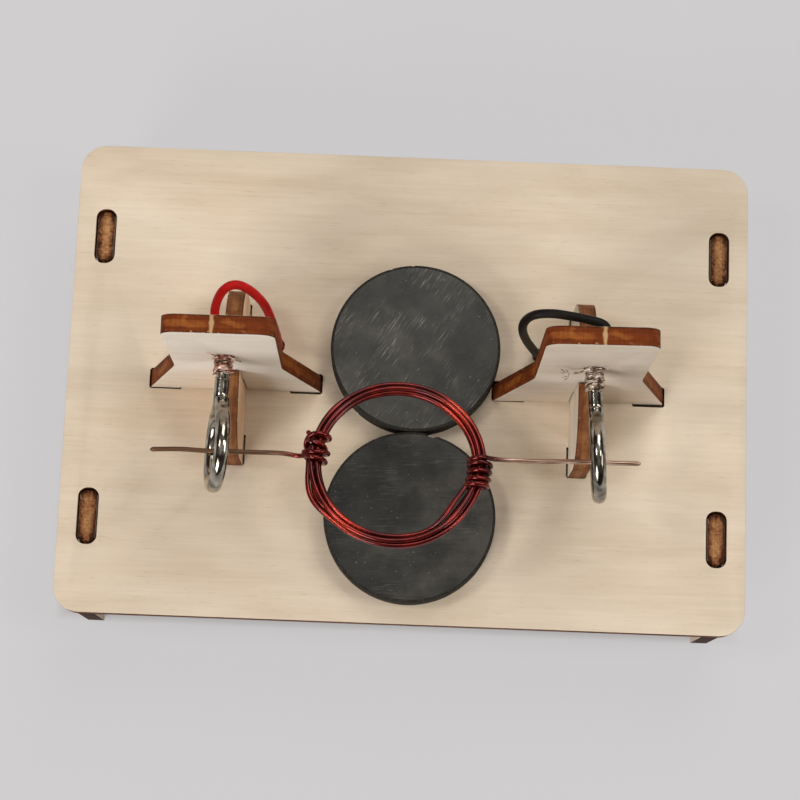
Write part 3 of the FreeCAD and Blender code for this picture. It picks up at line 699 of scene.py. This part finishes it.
EYE_WIRE = 2.4
EYE_RING = 6.3  # radius of its centre line
EYE_NECK_RADIUS = 2.0
EYE_END_RADIUS = 2.6
EYE_END_LENGTH = 0.5
EYE_END_GAP = 0.1
EYE_TIP = ((0.3, 1.0), (0.12, 0.97), (0.03, 0.88), (0.0, 0.76))  # distance from the end, share of radius
SHANK_OVERLAP = (0.6, 0.5)  # how far the wire reaches into the thread, and then runs straight
THREAD_FRONT = 4.6
THREAD_REAR = 2.0
THREAD_DIAMETER = 2.5
THREAD_CORE = 2.04
THREAD_PITCH = 0.95
POINT_LENGTH = 2.0
POINT_SHARE = 0.06  # of the thread's width that is left at its tip
SHEET = 3.0
SUPPORT_X = 30.2
SUPPORT_Y = -0.3
PLATE_TOP = 20.0
EYE_HEIGHT = 28.0
ARC_STEP = 6.0
eyes = {
    "left": {"side": -1, "reach": 15.0, "twist": 12.0, "yaw": 1.5, "lean": 0.0},
    "right": {"side": 1, "reach": 14.75, "twist": -5.0, "yaw": 3.3, "lean": 0.7},
}


def arc(centre, radius, start, stop):
    """Points along an arc in the XY plane between two angles, in degrees."""
    count = max(2, round(abs(stop - start) / ARC_STEP))
    angles = [math.radians(start + (stop - start) * i / count) for i in range(count + 1)]
    return [(centre[0] + radius * math.cos(a), centre[1] + radius * math.sin(a), 0.0) for a in angles]


def eye_path(reach):
    """The bent wire of an eye, with its ring about the origin and its shank along -X."""
    neck = (-math.sqrt((EYE_RING + EYE_NECK_RADIUS) ** 2 - EYE_NECK_RADIUS**2), -EYE_NECK_RADIUS)
    neck_angle = math.degrees(math.atan2(neck[1], neck[0])) + 360
    rise = EYE_WIRE + EYE_END_GAP + EYE_END_RADIUS
    end = (-math.sqrt((EYE_RING + EYE_END_RADIUS) ** 2 - rise**2), rise)
    end_angle = math.degrees(math.atan2(end[1], end[0])) + 360
    shank_x = -reach + THREAD_FRONT - SHANK_OVERLAP[0]
    path = [(shank_x, 0.0, 0.0), (shank_x + SHANK_OVERLAP[1], 0.0, 0.0)]
    path += arc(neck, EYE_NECK_RADIUS, 90, neck_angle - 180)
    path += arc((0, 0), EYE_RING, neck_angle, end_angle)[1:]
    path += arc(end, EYE_END_RADIUS, end_angle - 180, 270)[1:]
    tip_x, tip_y = path[-1][0] - EYE_END_LENGTH, path[-1][1]
    return path + [(tip_x + before, tip_y, 0.0, share) for before, share in EYE_TIP]


def eye_frame(eye):
    """The matrix, in metres, that takes a piece drawn about the ring's centre to its screw hole."""
    lay = Matrix(((0, 0, -1), (-1, 0, 0), (0, 1, 0)))
    lean = Matrix.Rotation(-math.radians(eye["lean"]), 3, "X")
    shank = Matrix.Rotation(eye["side"] * math.radians(eye["yaw"]), 3, "Z") @ lean
    twist = Matrix.Rotation(math.radians(eye["twist"]), 3, "Y")
    foot_z = PLATE_TOP + SHEET / 2 * math.sin(math.radians(eye["lean"]))
    foot = Vector((eye["side"] * SUPPORT_X, SUPPORT_Y, foot_z))
    centre = foot + lean @ Vector((0, 0, EYE_HEIGHT)) + shank @ Vector((0, -eye["reach"] - SHEET / 2, 0))
    return Matrix.Translation(centre * MM) @ (shank @ twist @ lay).to_4x4()


frames = {name: eye_frame(eye) for name, eye in eyes.items()}
print("path points of the eyes:", [len(eye_path(eye["reach"])) for eye in eyes.values()])

# %% [markdown]
# ## The screw thread
# A rolled thread is one ridge that climbs round a thinner core and fades into a sharp point. Because it
# repeats with its pitch, a tree builds it: a spiral carries a six-sided ridge, a cylinder is the core,
# and both shrink towards the tip.

# %% The thread tree and the two screw eyes
thread_tree, add, given = new_tree(
    "rolled_thread", ["Length", "Pitch", "Core Radius", "Crest Radius", "Point"],
)
length, core_radius = given["Length"], given["Core Radius"]
spiral = add(
    "GeometryNodeCurveSpiral", Resolution=40, Rotations=add("Math DIVIDE", length, given["Pitch"]),
    Start_Radius=core_radius, End_Radius=core_radius, Height=length,
)
ridge_height = add("Math SUBTRACT", given["Crest Radius"], core_radius)
ridge = add("GeometryNodeCurvePrimitiveCircle", 6, Radius=ridge_height)
ridge = add("GeometryNodeCurveToMesh", spiral, Profile_Curve=ridge, Fill_Caps=True)
core = add("GeometryNodeMeshCylinder", Vertices=32, Side_Segments=40, Radius=core_radius, Depth=length)
core_shift = add("CombineXYZ", Z=add("Math MULTIPLY", length, 0.5))
core = add("GeometryNodeTransform", core, Translation=core_shift)
both = add("GeometryNodeJoinGeometry", core)
thread_tree.links.new(ridge.outputs["Mesh"], both.inputs["Geometry"])
x, y, z = add("SeparateXYZ", add("GeometryNodeInputPosition")).outputs
shrink = add("MapRange", add("Math SUBTRACT", length, z), 0, given["Point"], POINT_SHARE, 1)
narrow = [add("Math MULTIPLY", place_on, shrink) for place_on in (x, y)]
pointed = add("GeometryNodeSetPosition", both, Position=add("CombineXYZ", *narrow, z))
end_tree(add, pointed, given["Material"])

thread_length = THREAD_FRONT + SHEET + THREAD_REAR + POINT_LENGTH
thread_sizes = {
    "Length": thread_length * MM, "Pitch": THREAD_PITCH * MM, "Core Radius": THREAD_CORE / 2 * MM,
    "Crest Radius": THREAD_DIAMETER / 2 * MM, "Point": POINT_LENGTH * MM, "Material": nickel,
}
for name, eye in eyes.items():
    ring = wire(f"eye_ring_{name}", [eye_path(eye["reach"])], EYE_WIRE, 40, 3, nickel, frames[name])
    thread = grow(f"eye_thread_{name}", thread_tree, thread_sizes)
    start = Matrix.Translation(Vector((-eye["reach"] + THREAD_FRONT, 0, 0)) * MM)
    thread.data.transform(frames[name] @ start @ Matrix.Rotation(-math.pi / 2, 4, "Y"))
    for piece in (ring, thread):
        finished(piece, "stand", "nickel_plate", f"eye_screw_{name}")

# %% [markdown]
# ## Enamelled copper wire
# Magnet wire is bright copper under a thin coat of clear coloured varnish. The metal below gives a deep
# glow, and the varnish adds a second, white highlight. On the left end the varnish has dulled to brown, and
# the right end is scraped to bare pinkish copper, so that the current can pass there.

# %% Finishes for the rotor's wire
PAINTED_GLINT_SPOTS = ((8, -9.5, 42), (-9.5, -27.5, 46.5))  # painted highlight: spots where the copper's glow from the lamps is painted brighter
GLINT_EDGE, GLINT_MIDDLE = 5.5 * MM, 1 * MM  # distances from such a spot
DULLED = (-17.5, -21)  # x where the wire begins to be dulled, and where it is all dulled
SCRAPED = (14, 17.5)
enamel, add, place = new_finish("red_enamelled_copper_wire")
along = add("SeparateXYZ", place).outputs["X"]
blotches = add("TexNoise", place, Scale=1 / (4 * MM), Detail=3)
red = add("ValToRGB", blotches, stops=[(0.35, "460602"), (0.52, "600A04"), (0.7, "7E1A0B")])
# Painted highlight: near these two spots the red is mixed towards bright orange, as if the lamps glowed in
# the copper.
for spot in PAINTED_GLINT_SPOTS:
    from_spot = add("VectorMath DISTANCE", place, [value * MM for value in spot]).outputs["Value"]
    painted_glint = add("MapRange SMOOTHSTEP", from_spot, GLINT_EDGE, GLINT_MIDDLE, 0, 0.42)
    red = add("Mix RGBA", painted_glint, A=red, B=srgb("CC3C18"))
dulled, scraped = (add("MapRange", along, start * MM, stop * MM) for start, stop in (DULLED, SCRAPED))
colour = add("Mix RGBA", dulled, A=red, B=srgb("6A4A34"))
scrapes = drawn_out(add, place, (5, 0.2, 0.2), Detail=2)
bare = add("ValToRGB", scrapes, stops=[(0.38, "6E4632"), (0.5, "A07C66"), (0.64, "E2C4B0")])
colour = add("Mix RGBA", scraped, A=colour, B=bare)
worn = add("Math MAXIMUM", dulled, scraped)
rough = add("MapRange", worn, 0, 1, 0.22, 0.4)
lumps = add("TexNoise", place, Scale=1 / (0.8 * MM), Detail=2)
bump = add("Bump", Strength=0.4, Distance=0.02 * MM, Height=lumps)
close_finish(add, colour, Metallic=0.7, Coat_Weight=0.2, Coat_Roughness=0.05, Roughness=rough, Normal=bump)

strand_finishes = {
    side: cloudy_finish(name, 0.9, stops, detail=3.0, Metallic=0.7, Roughness=0.35)
    for side, name, stops in (
        ("left", "bare_stranded_copper", ((0.4, "6A3A2A"), (0.5, "BC8672"), (0.6, "F4D6C6"))),
        ("right", "tinned_stranded_copper", ((0.4, "5C4434"), (0.5, "BCA48E"), (0.6, "F4EADC"))),
    )
}
print("rotor finishes ready")

# %% [markdown]
# ## The rotor's winding
# The coil is one wire laid round a former: each turn lies beside the last, so that six turns nest about a
# seventh. This rule makes a good Geometry Nodes tree. A long line is resampled, and every point is placed
# by its turn number: round the coil once a turn, and round the bundle a sixth of a turn. Low noise keeps it
# hand-made, one turn springs loose near the left binding, and the inner ones fan out near the right one.

# %% The winding tree
COIL_WIRE = 0.8
COIL_RADIUS = 13.6
TURN_PITCH = 0.86
COIL_TILT = math.radians(-14.0)
INTO_MIDDLE = (5.6, 5.95)  # the turns between which the seventh one leaves the outside of the bundle
COIL_OFFSET = Vector((-1.4, -1.3, 0.0))
AXLE_POINT = Vector((0.0, -16.4913, 43.5386))
AXLE_LINE = Vector((0.999963, 0.008413, 0.001596))

winding_tree, add, given = new_tree("hand_wound_coil", [
    "Turns", "Coil Radius", "Wire Diameter", "Turn Pitch", "Start Angle", "Looseness", "Seed",
    "Loose Turn Angle", "Loose Turn Rise", "Loose Turn Width",
    "Short Cut Angle", "Short Cut Depth", "Short Cut Width",
], ["Points"])
line = add("GeometryNodeCurvePrimitiveLine")
line = add("GeometryNodeResampleCurve", line, Count=given["Points"])
share = add("GeometryNodeSplineParameter").outputs["Factor"]
turn = add("Math MULTIPLY", share, given["Turns"])
angle = add("Math MULTIPLY_ADD", turn, 2 * math.pi, given["Start Angle"])
lay = add("Math MULTIPLY", turn, math.radians(60))
lay_out, lay_up = (add(f"Math {way}", lay) for way in ("COSINE", "SINE"))
round_x, round_y = (add(f"Math {way}", angle) for way in ("COSINE", "SINE"))
# The seventh turn slips into the middle of the bundle.
spread = add("MapRange SMOOTHSTEP", turn, *INTO_MIDDLE, 1, 0)
spread = add("Math MULTIPLY", spread, given["Turn Pitch"])
drift_place = add("CombineXYZ", round_x, round_y, turn)
drift = add("TexNoise", drift_place, noise_dimensions="4D", Scale=1.3, Detail=1, W=given["Seed"])
drift = add("VectorMath SUBTRACT", drift.outputs["Color"], (0.5, 0.5, 0.5))
drift = add("VectorMath SCALE", drift, Scale=given["Looseness"])
drift = add("SeparateXYZ", drift)


def near_angle(label):
    """A smooth hump over the turns, 1 at the input named label and 0 half its width away."""
    away = add("Math SUBTRACT", angle, given[f"{label} Angle"])
    away = add("Math ABSOLUTE", add("Math WRAP", away, math.pi, -math.pi))
    return add("MapRange SMOOTHSTEP", away, 0, given[f"{label} Width"], 1, 0)


outermost = add("MapRange SMOOTHSTEP", lay_out, 0.75, 1)
inwards = add("MapRange", lay_out, 1, -1)
rise = add("Math MULTIPLY", near_angle("Loose Turn"), outermost)
rise = add("Math MULTIPLY", rise, given["Loose Turn Rise"])
sunk = add("MapRange", lay_up, 1, -1, 0, 0.35)
fan = add("Math ADD", inwards, sunk)
short_cut = add("Math MULTIPLY", near_angle("Short Cut"), fan)
short_cut = add("Math MULTIPLY", short_cut, given["Short Cut Depth"])
radius = add("Math MULTIPLY_ADD", spread, lay_out, given["Coil Radius"])
for extra, way in ((drift.outputs["X"], "ADD"), (rise, "ADD"), (short_cut, "SUBTRACT")):
    radius = add(f"Math {way}", radius, extra)
point_x, point_y = (add("Math MULTIPLY", radius, around) for around in (round_x, round_y))
point_z = add("Math MULTIPLY_ADD", spread, lay_up, drift.outputs["Y"])
laid = add("GeometryNodeSetPosition", line, Position=add("CombineXYZ", point_x, point_y, point_z))
half_wire = add("Math MULTIPLY", given["Wire Diameter"], 0.5)
section = add("GeometryNodeCurvePrimitiveCircle", 20, Radius=half_wire)
wound = add("GeometryNodeCurveToMesh", laid, Profile_Curve=section, Fill_Caps=True)
end_tree(add, wound, given["Material"])
print("winding tree with", len(winding_tree.nodes), "nodes")

# %% [markdown]
# The tree draws the coil about its own middle. The rotor's frame then puts it on the axle's line, tilted
# and a little off-centre, as hand-wound coils are.

# %% Wind the coil
rotor_frame = Matrix.Translation(AXLE_POINT * MM) @ X.rotation_difference(AXLE_LINE).to_matrix().to_4x4()
coil_turn = Matrix.Rotation(COIL_TILT, 4, "X")
coil_frame = rotor_frame @ coil_turn @ Matrix.Translation(COIL_OFFSET * MM)
lengths = {
    "Coil Radius": COIL_RADIUS, "Wire Diameter": COIL_WIRE, "Turn Pitch": TURN_PITCH, "Looseness": 0.3,
    "Loose Turn Rise": 0.85, "Short Cut Depth": 1.25,
}
angles = {
    "Start Angle": 168, "Loose Turn Angle": 205, "Loose Turn Width": 24,
    "Short Cut Angle": -33, "Short Cut Width": 40,
}
sizes = {"Turns": 6.5, "Points": 900, "Seed": 4.0, "Material": enamel}
sizes |= {name: length * MM for name, length in lengths.items()}
sizes |= {name: math.radians(angle) for name, angle in angles.items()}
coil = grow("rotor_winding", winding_tree, sizes)
coil.data.transform(coil_frame)
finished(coil, "rotor", "enamelled_copper", "coil_winding")

# %% [markdown]
# ## Axle ends and bindings
# Each end of the wire crosses the bundle, winds round it a few times to tie the turns together, and is cut
# off. The same wire is the axle. Its path is drawn point by point: along the axle, with small kinks, up
# over the bundle, and then round the bundle with the places of the half turns given one by one.

# %% Bind the coil and lay the axle ends
BUNDLE_RADIUS = 1.5 * TURN_PITCH
BINDING_STEPS = 6  # points in each half turn
bindings = {  # knots are half turns, the place along the bundle and the slack
    "left": {"side": -1, "end": 41.6, "seed": 5, "knots": (
        (0, -0.4, 0), (0.5, -1.25, 0), (1, -1.48, 0.2), (1.5, -0.7, 0), (2, 0.2, 0.1), (2.5, -0.35, 0),
        (3, 0.1, 0.5), (3.5, 0.9, 0), (4, 2.5, 0), (4.5, 1.5, 0), (5, 0.6, 0), (5.5, 0.5, 0),
        (5.9, 1.4, 0), (6.15, 2.4, 0.1), (6.3, 2.8, 0.3), (6.5, 2.9, 0.2), (7, 2.8, 0), (7.5, 3.3, 0),
        (8, 3.9, 0.3),
    )},
    "right": {"side": 1, "end": 38.3, "seed": 11, "knots": (
        (0, 0, 0), (0.5, -0.45, 0), (1, -0.5, 0), (2, -1.35, 0.15), (2.5, -1.25, 0.03), (3, -1.3, 0),
        (4, -2.5, 0.08), (4.5, -2.7, 0.03), (5, -2.4, 0), (6, -3.8, 0.05), (6.5, -4.1, 0.03), (7, -3.7, 0),
        (8, -4.85, 0.03), (8.5, -5.1, 0.03), (9, -4.8, 0), (9.3, -5, 0),
    )},
}
KINK = 0.16
KINK_SPACING, KINK_SPREAD = 3.4, (0.7, 1.2)  # on average, and share of it
KINKS_STOP = 1.2  # this far before the tip
CALM, CALM_EDGE = 3.5, 2.5  # no kink this near to a ring, and full kinks that much further
BEND_BEFORE, BEND_END = 2.6, 1.5  # distances from the bundle where the axle ends and the binding begins
WIRE_GAP = 0.02  # between wires that lie on each other
TIP = ((0.0, 0.8), (0.08, 1.0))  # distance from the end, share of radius


def between(knots, at):
    """What a knot says after its first number, at a place between the knots, which are joined straight."""
    for (start, *before), (stop, *after) in zip(knots, knots[1:]):
        if at <= stop:
            share_done = (at - start) / (stop - start)
            return [low + (high - low) * share_done for low, high in zip(before, after)]
    return knots[-1][1:]


def binding_path(side, end, seed, knots):
    """One wire end in the rotor's frame, in mm: from its tip along the axle and round the bundle.
    Even half turns are on the bundle's outer side and odd ones on its inner side."""
    draw = random.Random(seed)
    bundle_edge = side * COIL_OFFSET.x + COIL_RADIUS + BUNDLE_RADIUS
    path = [(side * (end - before), 0.0, 0.0, share) for before, share in TIP]
    distance = end - KINKS_STOP
    while distance > bundle_edge + BEND_BEFORE:
        kink = KINK * min(1.0, max(0.0, abs(distance - SUPPORT_X) - CALM) / CALM_EDGE)
        path.append((side * distance, draw.uniform(-kink, kink), draw.uniform(-kink, kink)))
        distance -= KINK_SPACING * draw.uniform(*KINK_SPREAD)
    path.append((side * (bundle_edge + BEND_END), knots[0][1], 0.1))
    turn = coil_turn.to_3x3()
    for i in range(1, int(knots[-1][0] * BINDING_STEPS) + 1):
        half_turn = i / BINDING_STEPS
        place_on, slack = between(knots, half_turn)
        around = math.pi * half_turn
        reach = BUNDLE_RADIUS + COIL_WIRE / 2 + slack + WIRE_GAP
        from_middle = COIL_RADIUS + reach * math.cos(around)
        on_ring = math.asin((place_on - COIL_OFFSET.y) / from_middle)
        outward = Vector((side * math.cos(on_ring), math.sin(on_ring), 0))
        spot = outward * from_middle + Vector((0, 0, reach * math.sin(around)))
        path.append(tuple(turn @ (spot + COIL_OFFSET)))
    return path


for name, binding in bindings.items():
    path = binding_path(**binding)
    piece = wire(f"axle_and_binding_{name}", [path], COIL_WIRE, 20, 4, enamel, rotor_frame)
    finished(piece, "rotor", "enamelled_copper", f"axle_lead_{name}", f"end_wrap_{name}")

# %% [markdown]
# ## Stray copper strands
# Each lead is stripped, and its fine strands are passed through the screw hole and wound round the thread,
# where the screw squeezes them tight. Nobody winds hair-thin strands neatly, so each one follows the screw
# with its own small wander, and a few ends splay out over the wood.

# %% Wind the strands
STRAND = 0.17
STRAND_COUNT = 9
STRAND_STEPS = 14
BEHIND = 0.75  # from the upright's rear to where the strands begin
REAR_STAGGER, FRONT_STAGGER = 0.5, 0.6  # by which their ends differ
HOLE_EDGE = 0.2  # past each face of the upright, where strands already lie as in the hole
HOLE_PLAY = 0.3  # room between the thread and the hole
WANDER, LIFT = 0.12, (-0.05, 0.08)  # along the screw and away from it, outside the hole
strand_sets = {
    "left": {"turns": 3.7, "front": 3.4, "heaps": (0.1, 0.55, 0.3, 0.45, 0.24), "seed": 21, "strays": (
        ((0.2, 1.5, 0.9), (0.35, 1.9, 1.8), (0.3, 2.3, 2.7), (0.25, 2.2, 3.3)),
        ((0.3, 1.6, -0.6), (0.7, 1.9, -1.6), (0.9, 1.5, -2.6)),
        ((2.9, 1.4, -0.9), (2.7, 1.7, -1.9), (2.3, 1.5, -2.7, 0.7), (2.4, 1.2, -3.1, 0.6)),
        ((2.4, 1.4, -0.9), (2.2, 1.6, -1.7), (2.5, 1.3, -2.6, 0.7)),
        ((0.5, 1.7, 1.2), (0.8, 1.9, 1.9), (1.2, 1.7, 2.2, 0.7)),
        ((3.2, 1.2, 1), (3.3, 1.3, 1.5), (3.4, 1, 1.8, 0.7)),
    )},
    "right": {"turns": 4.6, "front": 4, "heaps": (0.06, 0.3, 0.42, 0.36, 0.19), "seed": 34, "strays": (
        ((0.3, 1.4, 1), (0.6, 0.7, 2.2), (0.65, 0.6, 3.1), (1.05, 0.5, 4.1), (0.6, 1.4, 4.9, 0.7),
         (0.2, 2.4, 5.6, 0.6)),
        ((0.3, 1.2, 1.2), (0.75, 0.6, 2.4), (0.8, 0.5, 3.3), (1.1, 0.5, 4), (0.9, 0.9, 4.7, 0.7),
         (0.7, 1.2, 5.4, 0.6)),
        ((0.65, 0.6, 3.1), (1.1, 0.4, 4.1), (1.25, 0.3, 4.8, 0.7), (1.35, 0.2, 5.5, 0.6)),
        ((0.8, 0.5, 3.4), (1, 0.6, 4), (0.6, 1.5, 4.4, 0.7), (0.25, 2.3, 4.7, 0.6)),
        ((1, 0.5, 4), (1.5, 0.2, 4.4, 0.7), (1.6, 0.1, 5, 0.6)),
        ((0.3, 1.6, -0.7), (0.5, 1.8, -1.7), (0.4, 1.4, -2.3)),
    )},
}


def strand_paths(reach, turns, front, heaps, seed, strays):
    """Strands round the thread in the eye's frame, from behind the upright to the front, and stray ends.
    Heaps are how thick the strands lie, from the wood to the front."""
    draw = random.Random(seed)
    rear = -reach - SHEET - BEHIND
    paths = []
    steps = round(turns * STRAND_STEPS)
    for strand in range(STRAND_COUNT):
        first = rear + draw.uniform(0.0, REAR_STAGGER)
        last = -reach + front - draw.uniform(0.0, FRONT_STAGGER)
        phase = 2 * math.pi * draw.random()
        layer = draw.random()
        path = []
        for i in range(steps + 1):
            along_screw = first + (last - first) * i / steps
            in_hole = -reach - SHEET - HOLE_EDGE < along_screw < -reach + HOLE_EDGE
            in_front = max(0.0, (along_screw + reach) / front) * (len(heaps) - 1)
            heap = between(list(enumerate(heaps)), in_front)[0]
            height = WIRE_GAP + layer * ((HOLE_PLAY if in_hole else heap) - STRAND)
            lift = THREAD_DIAMETER / 2 + STRAND / 2 + height + (0.0 if in_hole else draw.uniform(*LIFT))
            spin = phase + 2 * math.pi * turns * i / steps
            wander = 0.0 if in_hole else draw.uniform(-WANDER, WANDER)
            path.append((along_screw + wander, lift * math.cos(spin), lift * math.sin(spin)))
        paths.append(path)
    return paths + [[(-reach + ahead, *rest) for ahead, *rest in stray] for stray in strays]


for name, strands in strand_sets.items():
    paths = strand_paths(eyes[name]["reach"], **strands)
    piece = wire(f"copper_strands_{name}", paths, STRAND, 8, 3, strand_finishes[name], frames[name])
    finished(piece, "stand", "bare_copper", f"strand_wrap_{name}")

# %% [markdown]
# Behind the upright the strands leave the insulation as a loose bunch. It turns down to the screw and joins
# the wrap.

# %% Join the strands to the leads
BUNCH_COUNT = 8
BUNCH_SPREAD, SPIN_SPREAD = 0.3, 0.5
FROM_LEAD, PAST_LEAD = 0.6, 0.25  # how far a strand starts inside the insulation and how far it comes out
BUNCH_WRAP = ((1.5, 0.5), (1.45, 1.3), (1.4, 2.2))  # distance from the screw's axis and turn about it
BUNCH_BEHIND = (0.15, 0.6)  # the upright's rear
for name, lead in (("left", "lead_red"), ("right", "lead_black")):
    draw = random.Random(BUNCH_COUNT)
    to_eye = frames[name].inverted()
    before_end, lead_end = (to_eye @ (Vector(point) * MM) / MM for point in lead_points[lead][-2:])
    heading = (lead_end - before_end).normalized()
    paths = []
    for _ in range(BUNCH_COUNT):
        aside = Vector([draw.uniform(-BUNCH_SPREAD, BUNCH_SPREAD) for _ in range(3)])
        spin = math.atan2(lead_end.z, lead_end.y) + draw.uniform(-SPIN_SPREAD, SPIN_SPREAD)
        path = [tuple(lead_end + heading * ahead + aside) for ahead in (-FROM_LEAD, PAST_LEAD)]
        for radius, turned in BUNCH_WRAP:
            ahead = -eyes[name]["reach"] - SHEET - draw.uniform(*BUNCH_BEHIND)
            path.append((ahead, radius * math.cos(spin + turned), radius * math.sin(spin + turned)))
        paths.append(path)
    piece = wire(f"strand_bunch_{name}", paths, STRAND, 8, 4, strand_finishes[name], frames[name])
    finished(piece, "stand", "bare_copper", f"strand_wrap_{name}")

# %% [markdown]
# ## Lead insulation
# The leads are covered with soft PVC, which is extruded round the strands. It is smooth with a low gloss,
# and handling leaves it very slightly uneven.

# %% Finish the leads
for name, dark, light in (("lead_red", "A60C0B", "C6150F"), ("lead_black", "0B0703", "170F07")):
    finish, add, place = new_finish(f"extruded_pvc_{name}")
    soft = add("TexNoise", place, Scale=1 / (3 * MM), Detail=3)
    colour = add("ValToRGB", soft, stops=[(0.35, dark), (0.7, light)])
    fine = add("TexNoise", place, Scale=1 / (0.3 * MM), Detail=2)
    bump = add("Bump", Strength=0.25, Distance=0.02 * MM, Height=fine)
    rough = add("MapRange", fine, 0, 1, 0.38, 0.55)
    close_finish(add, colour, Specular_IOR_Level=0.16, Roughness=rough, Normal=bump)
    leads[name].data.materials.append(finish)
print("leads finished")

# %% [markdown]
# ## Under the plate
# A moulded tray holds one cell between two sprung contacts and hangs on a strip of foam tape. These parts
# keep their solids, with slightly rounded edges, and get plain finishes: matt black moulded plastic, a
# plain shrink sleeve, bright plated spring steel and grey foam.

# %% Finishes and pieces under the plate
tray_plastic, sleeve, foam, spring_steel = (
    cloudy_finish(name, size, ((0.35, dark), (0.65, light)), relief, **settings)
    for name, dark, light, size, relief, settings in (
        ("moulded_black_polystyrene", "1B1B1C", "29292B", 0.35, 0.02, {"Roughness": 0.5}),
        ("plain_shrink_sleeve", "B9BCC0", "CDD0D3", 9.0, 0.01, {"Roughness": 0.28}),
        ("closed_cell_foam_tape", "8E8F91", "B2B3B4", 0.3, 0.08, {"Roughness": 0.95}),
        ("nickel_plated_spring_steel", "BDB9B0", "D6D2C8", 1.5, 0.01, {"Roughness": 0.22, "Metallic": 1}),
    )
)
under_parts = (
    ("battery_tray", tray_plastic, "black_plastic", 0.2),
    ("battery_cell", sleeve, "cell_sleeve", 0.4),
    ("contact_positive", spring_steel, "plated_spring_steel", 0.05),
    ("contact_negative", spring_steel, "plated_spring_steel", 0.05),
    ("foam_tape", foam, "foam", 0.05),
)
for node, finish, slot, rounding in under_parts:
    piece = softened_copy(f"{node}_body", node, rounding * MM, 3)
    piece.data.materials.append(finish)
    finished(piece, "stand", slot, node)
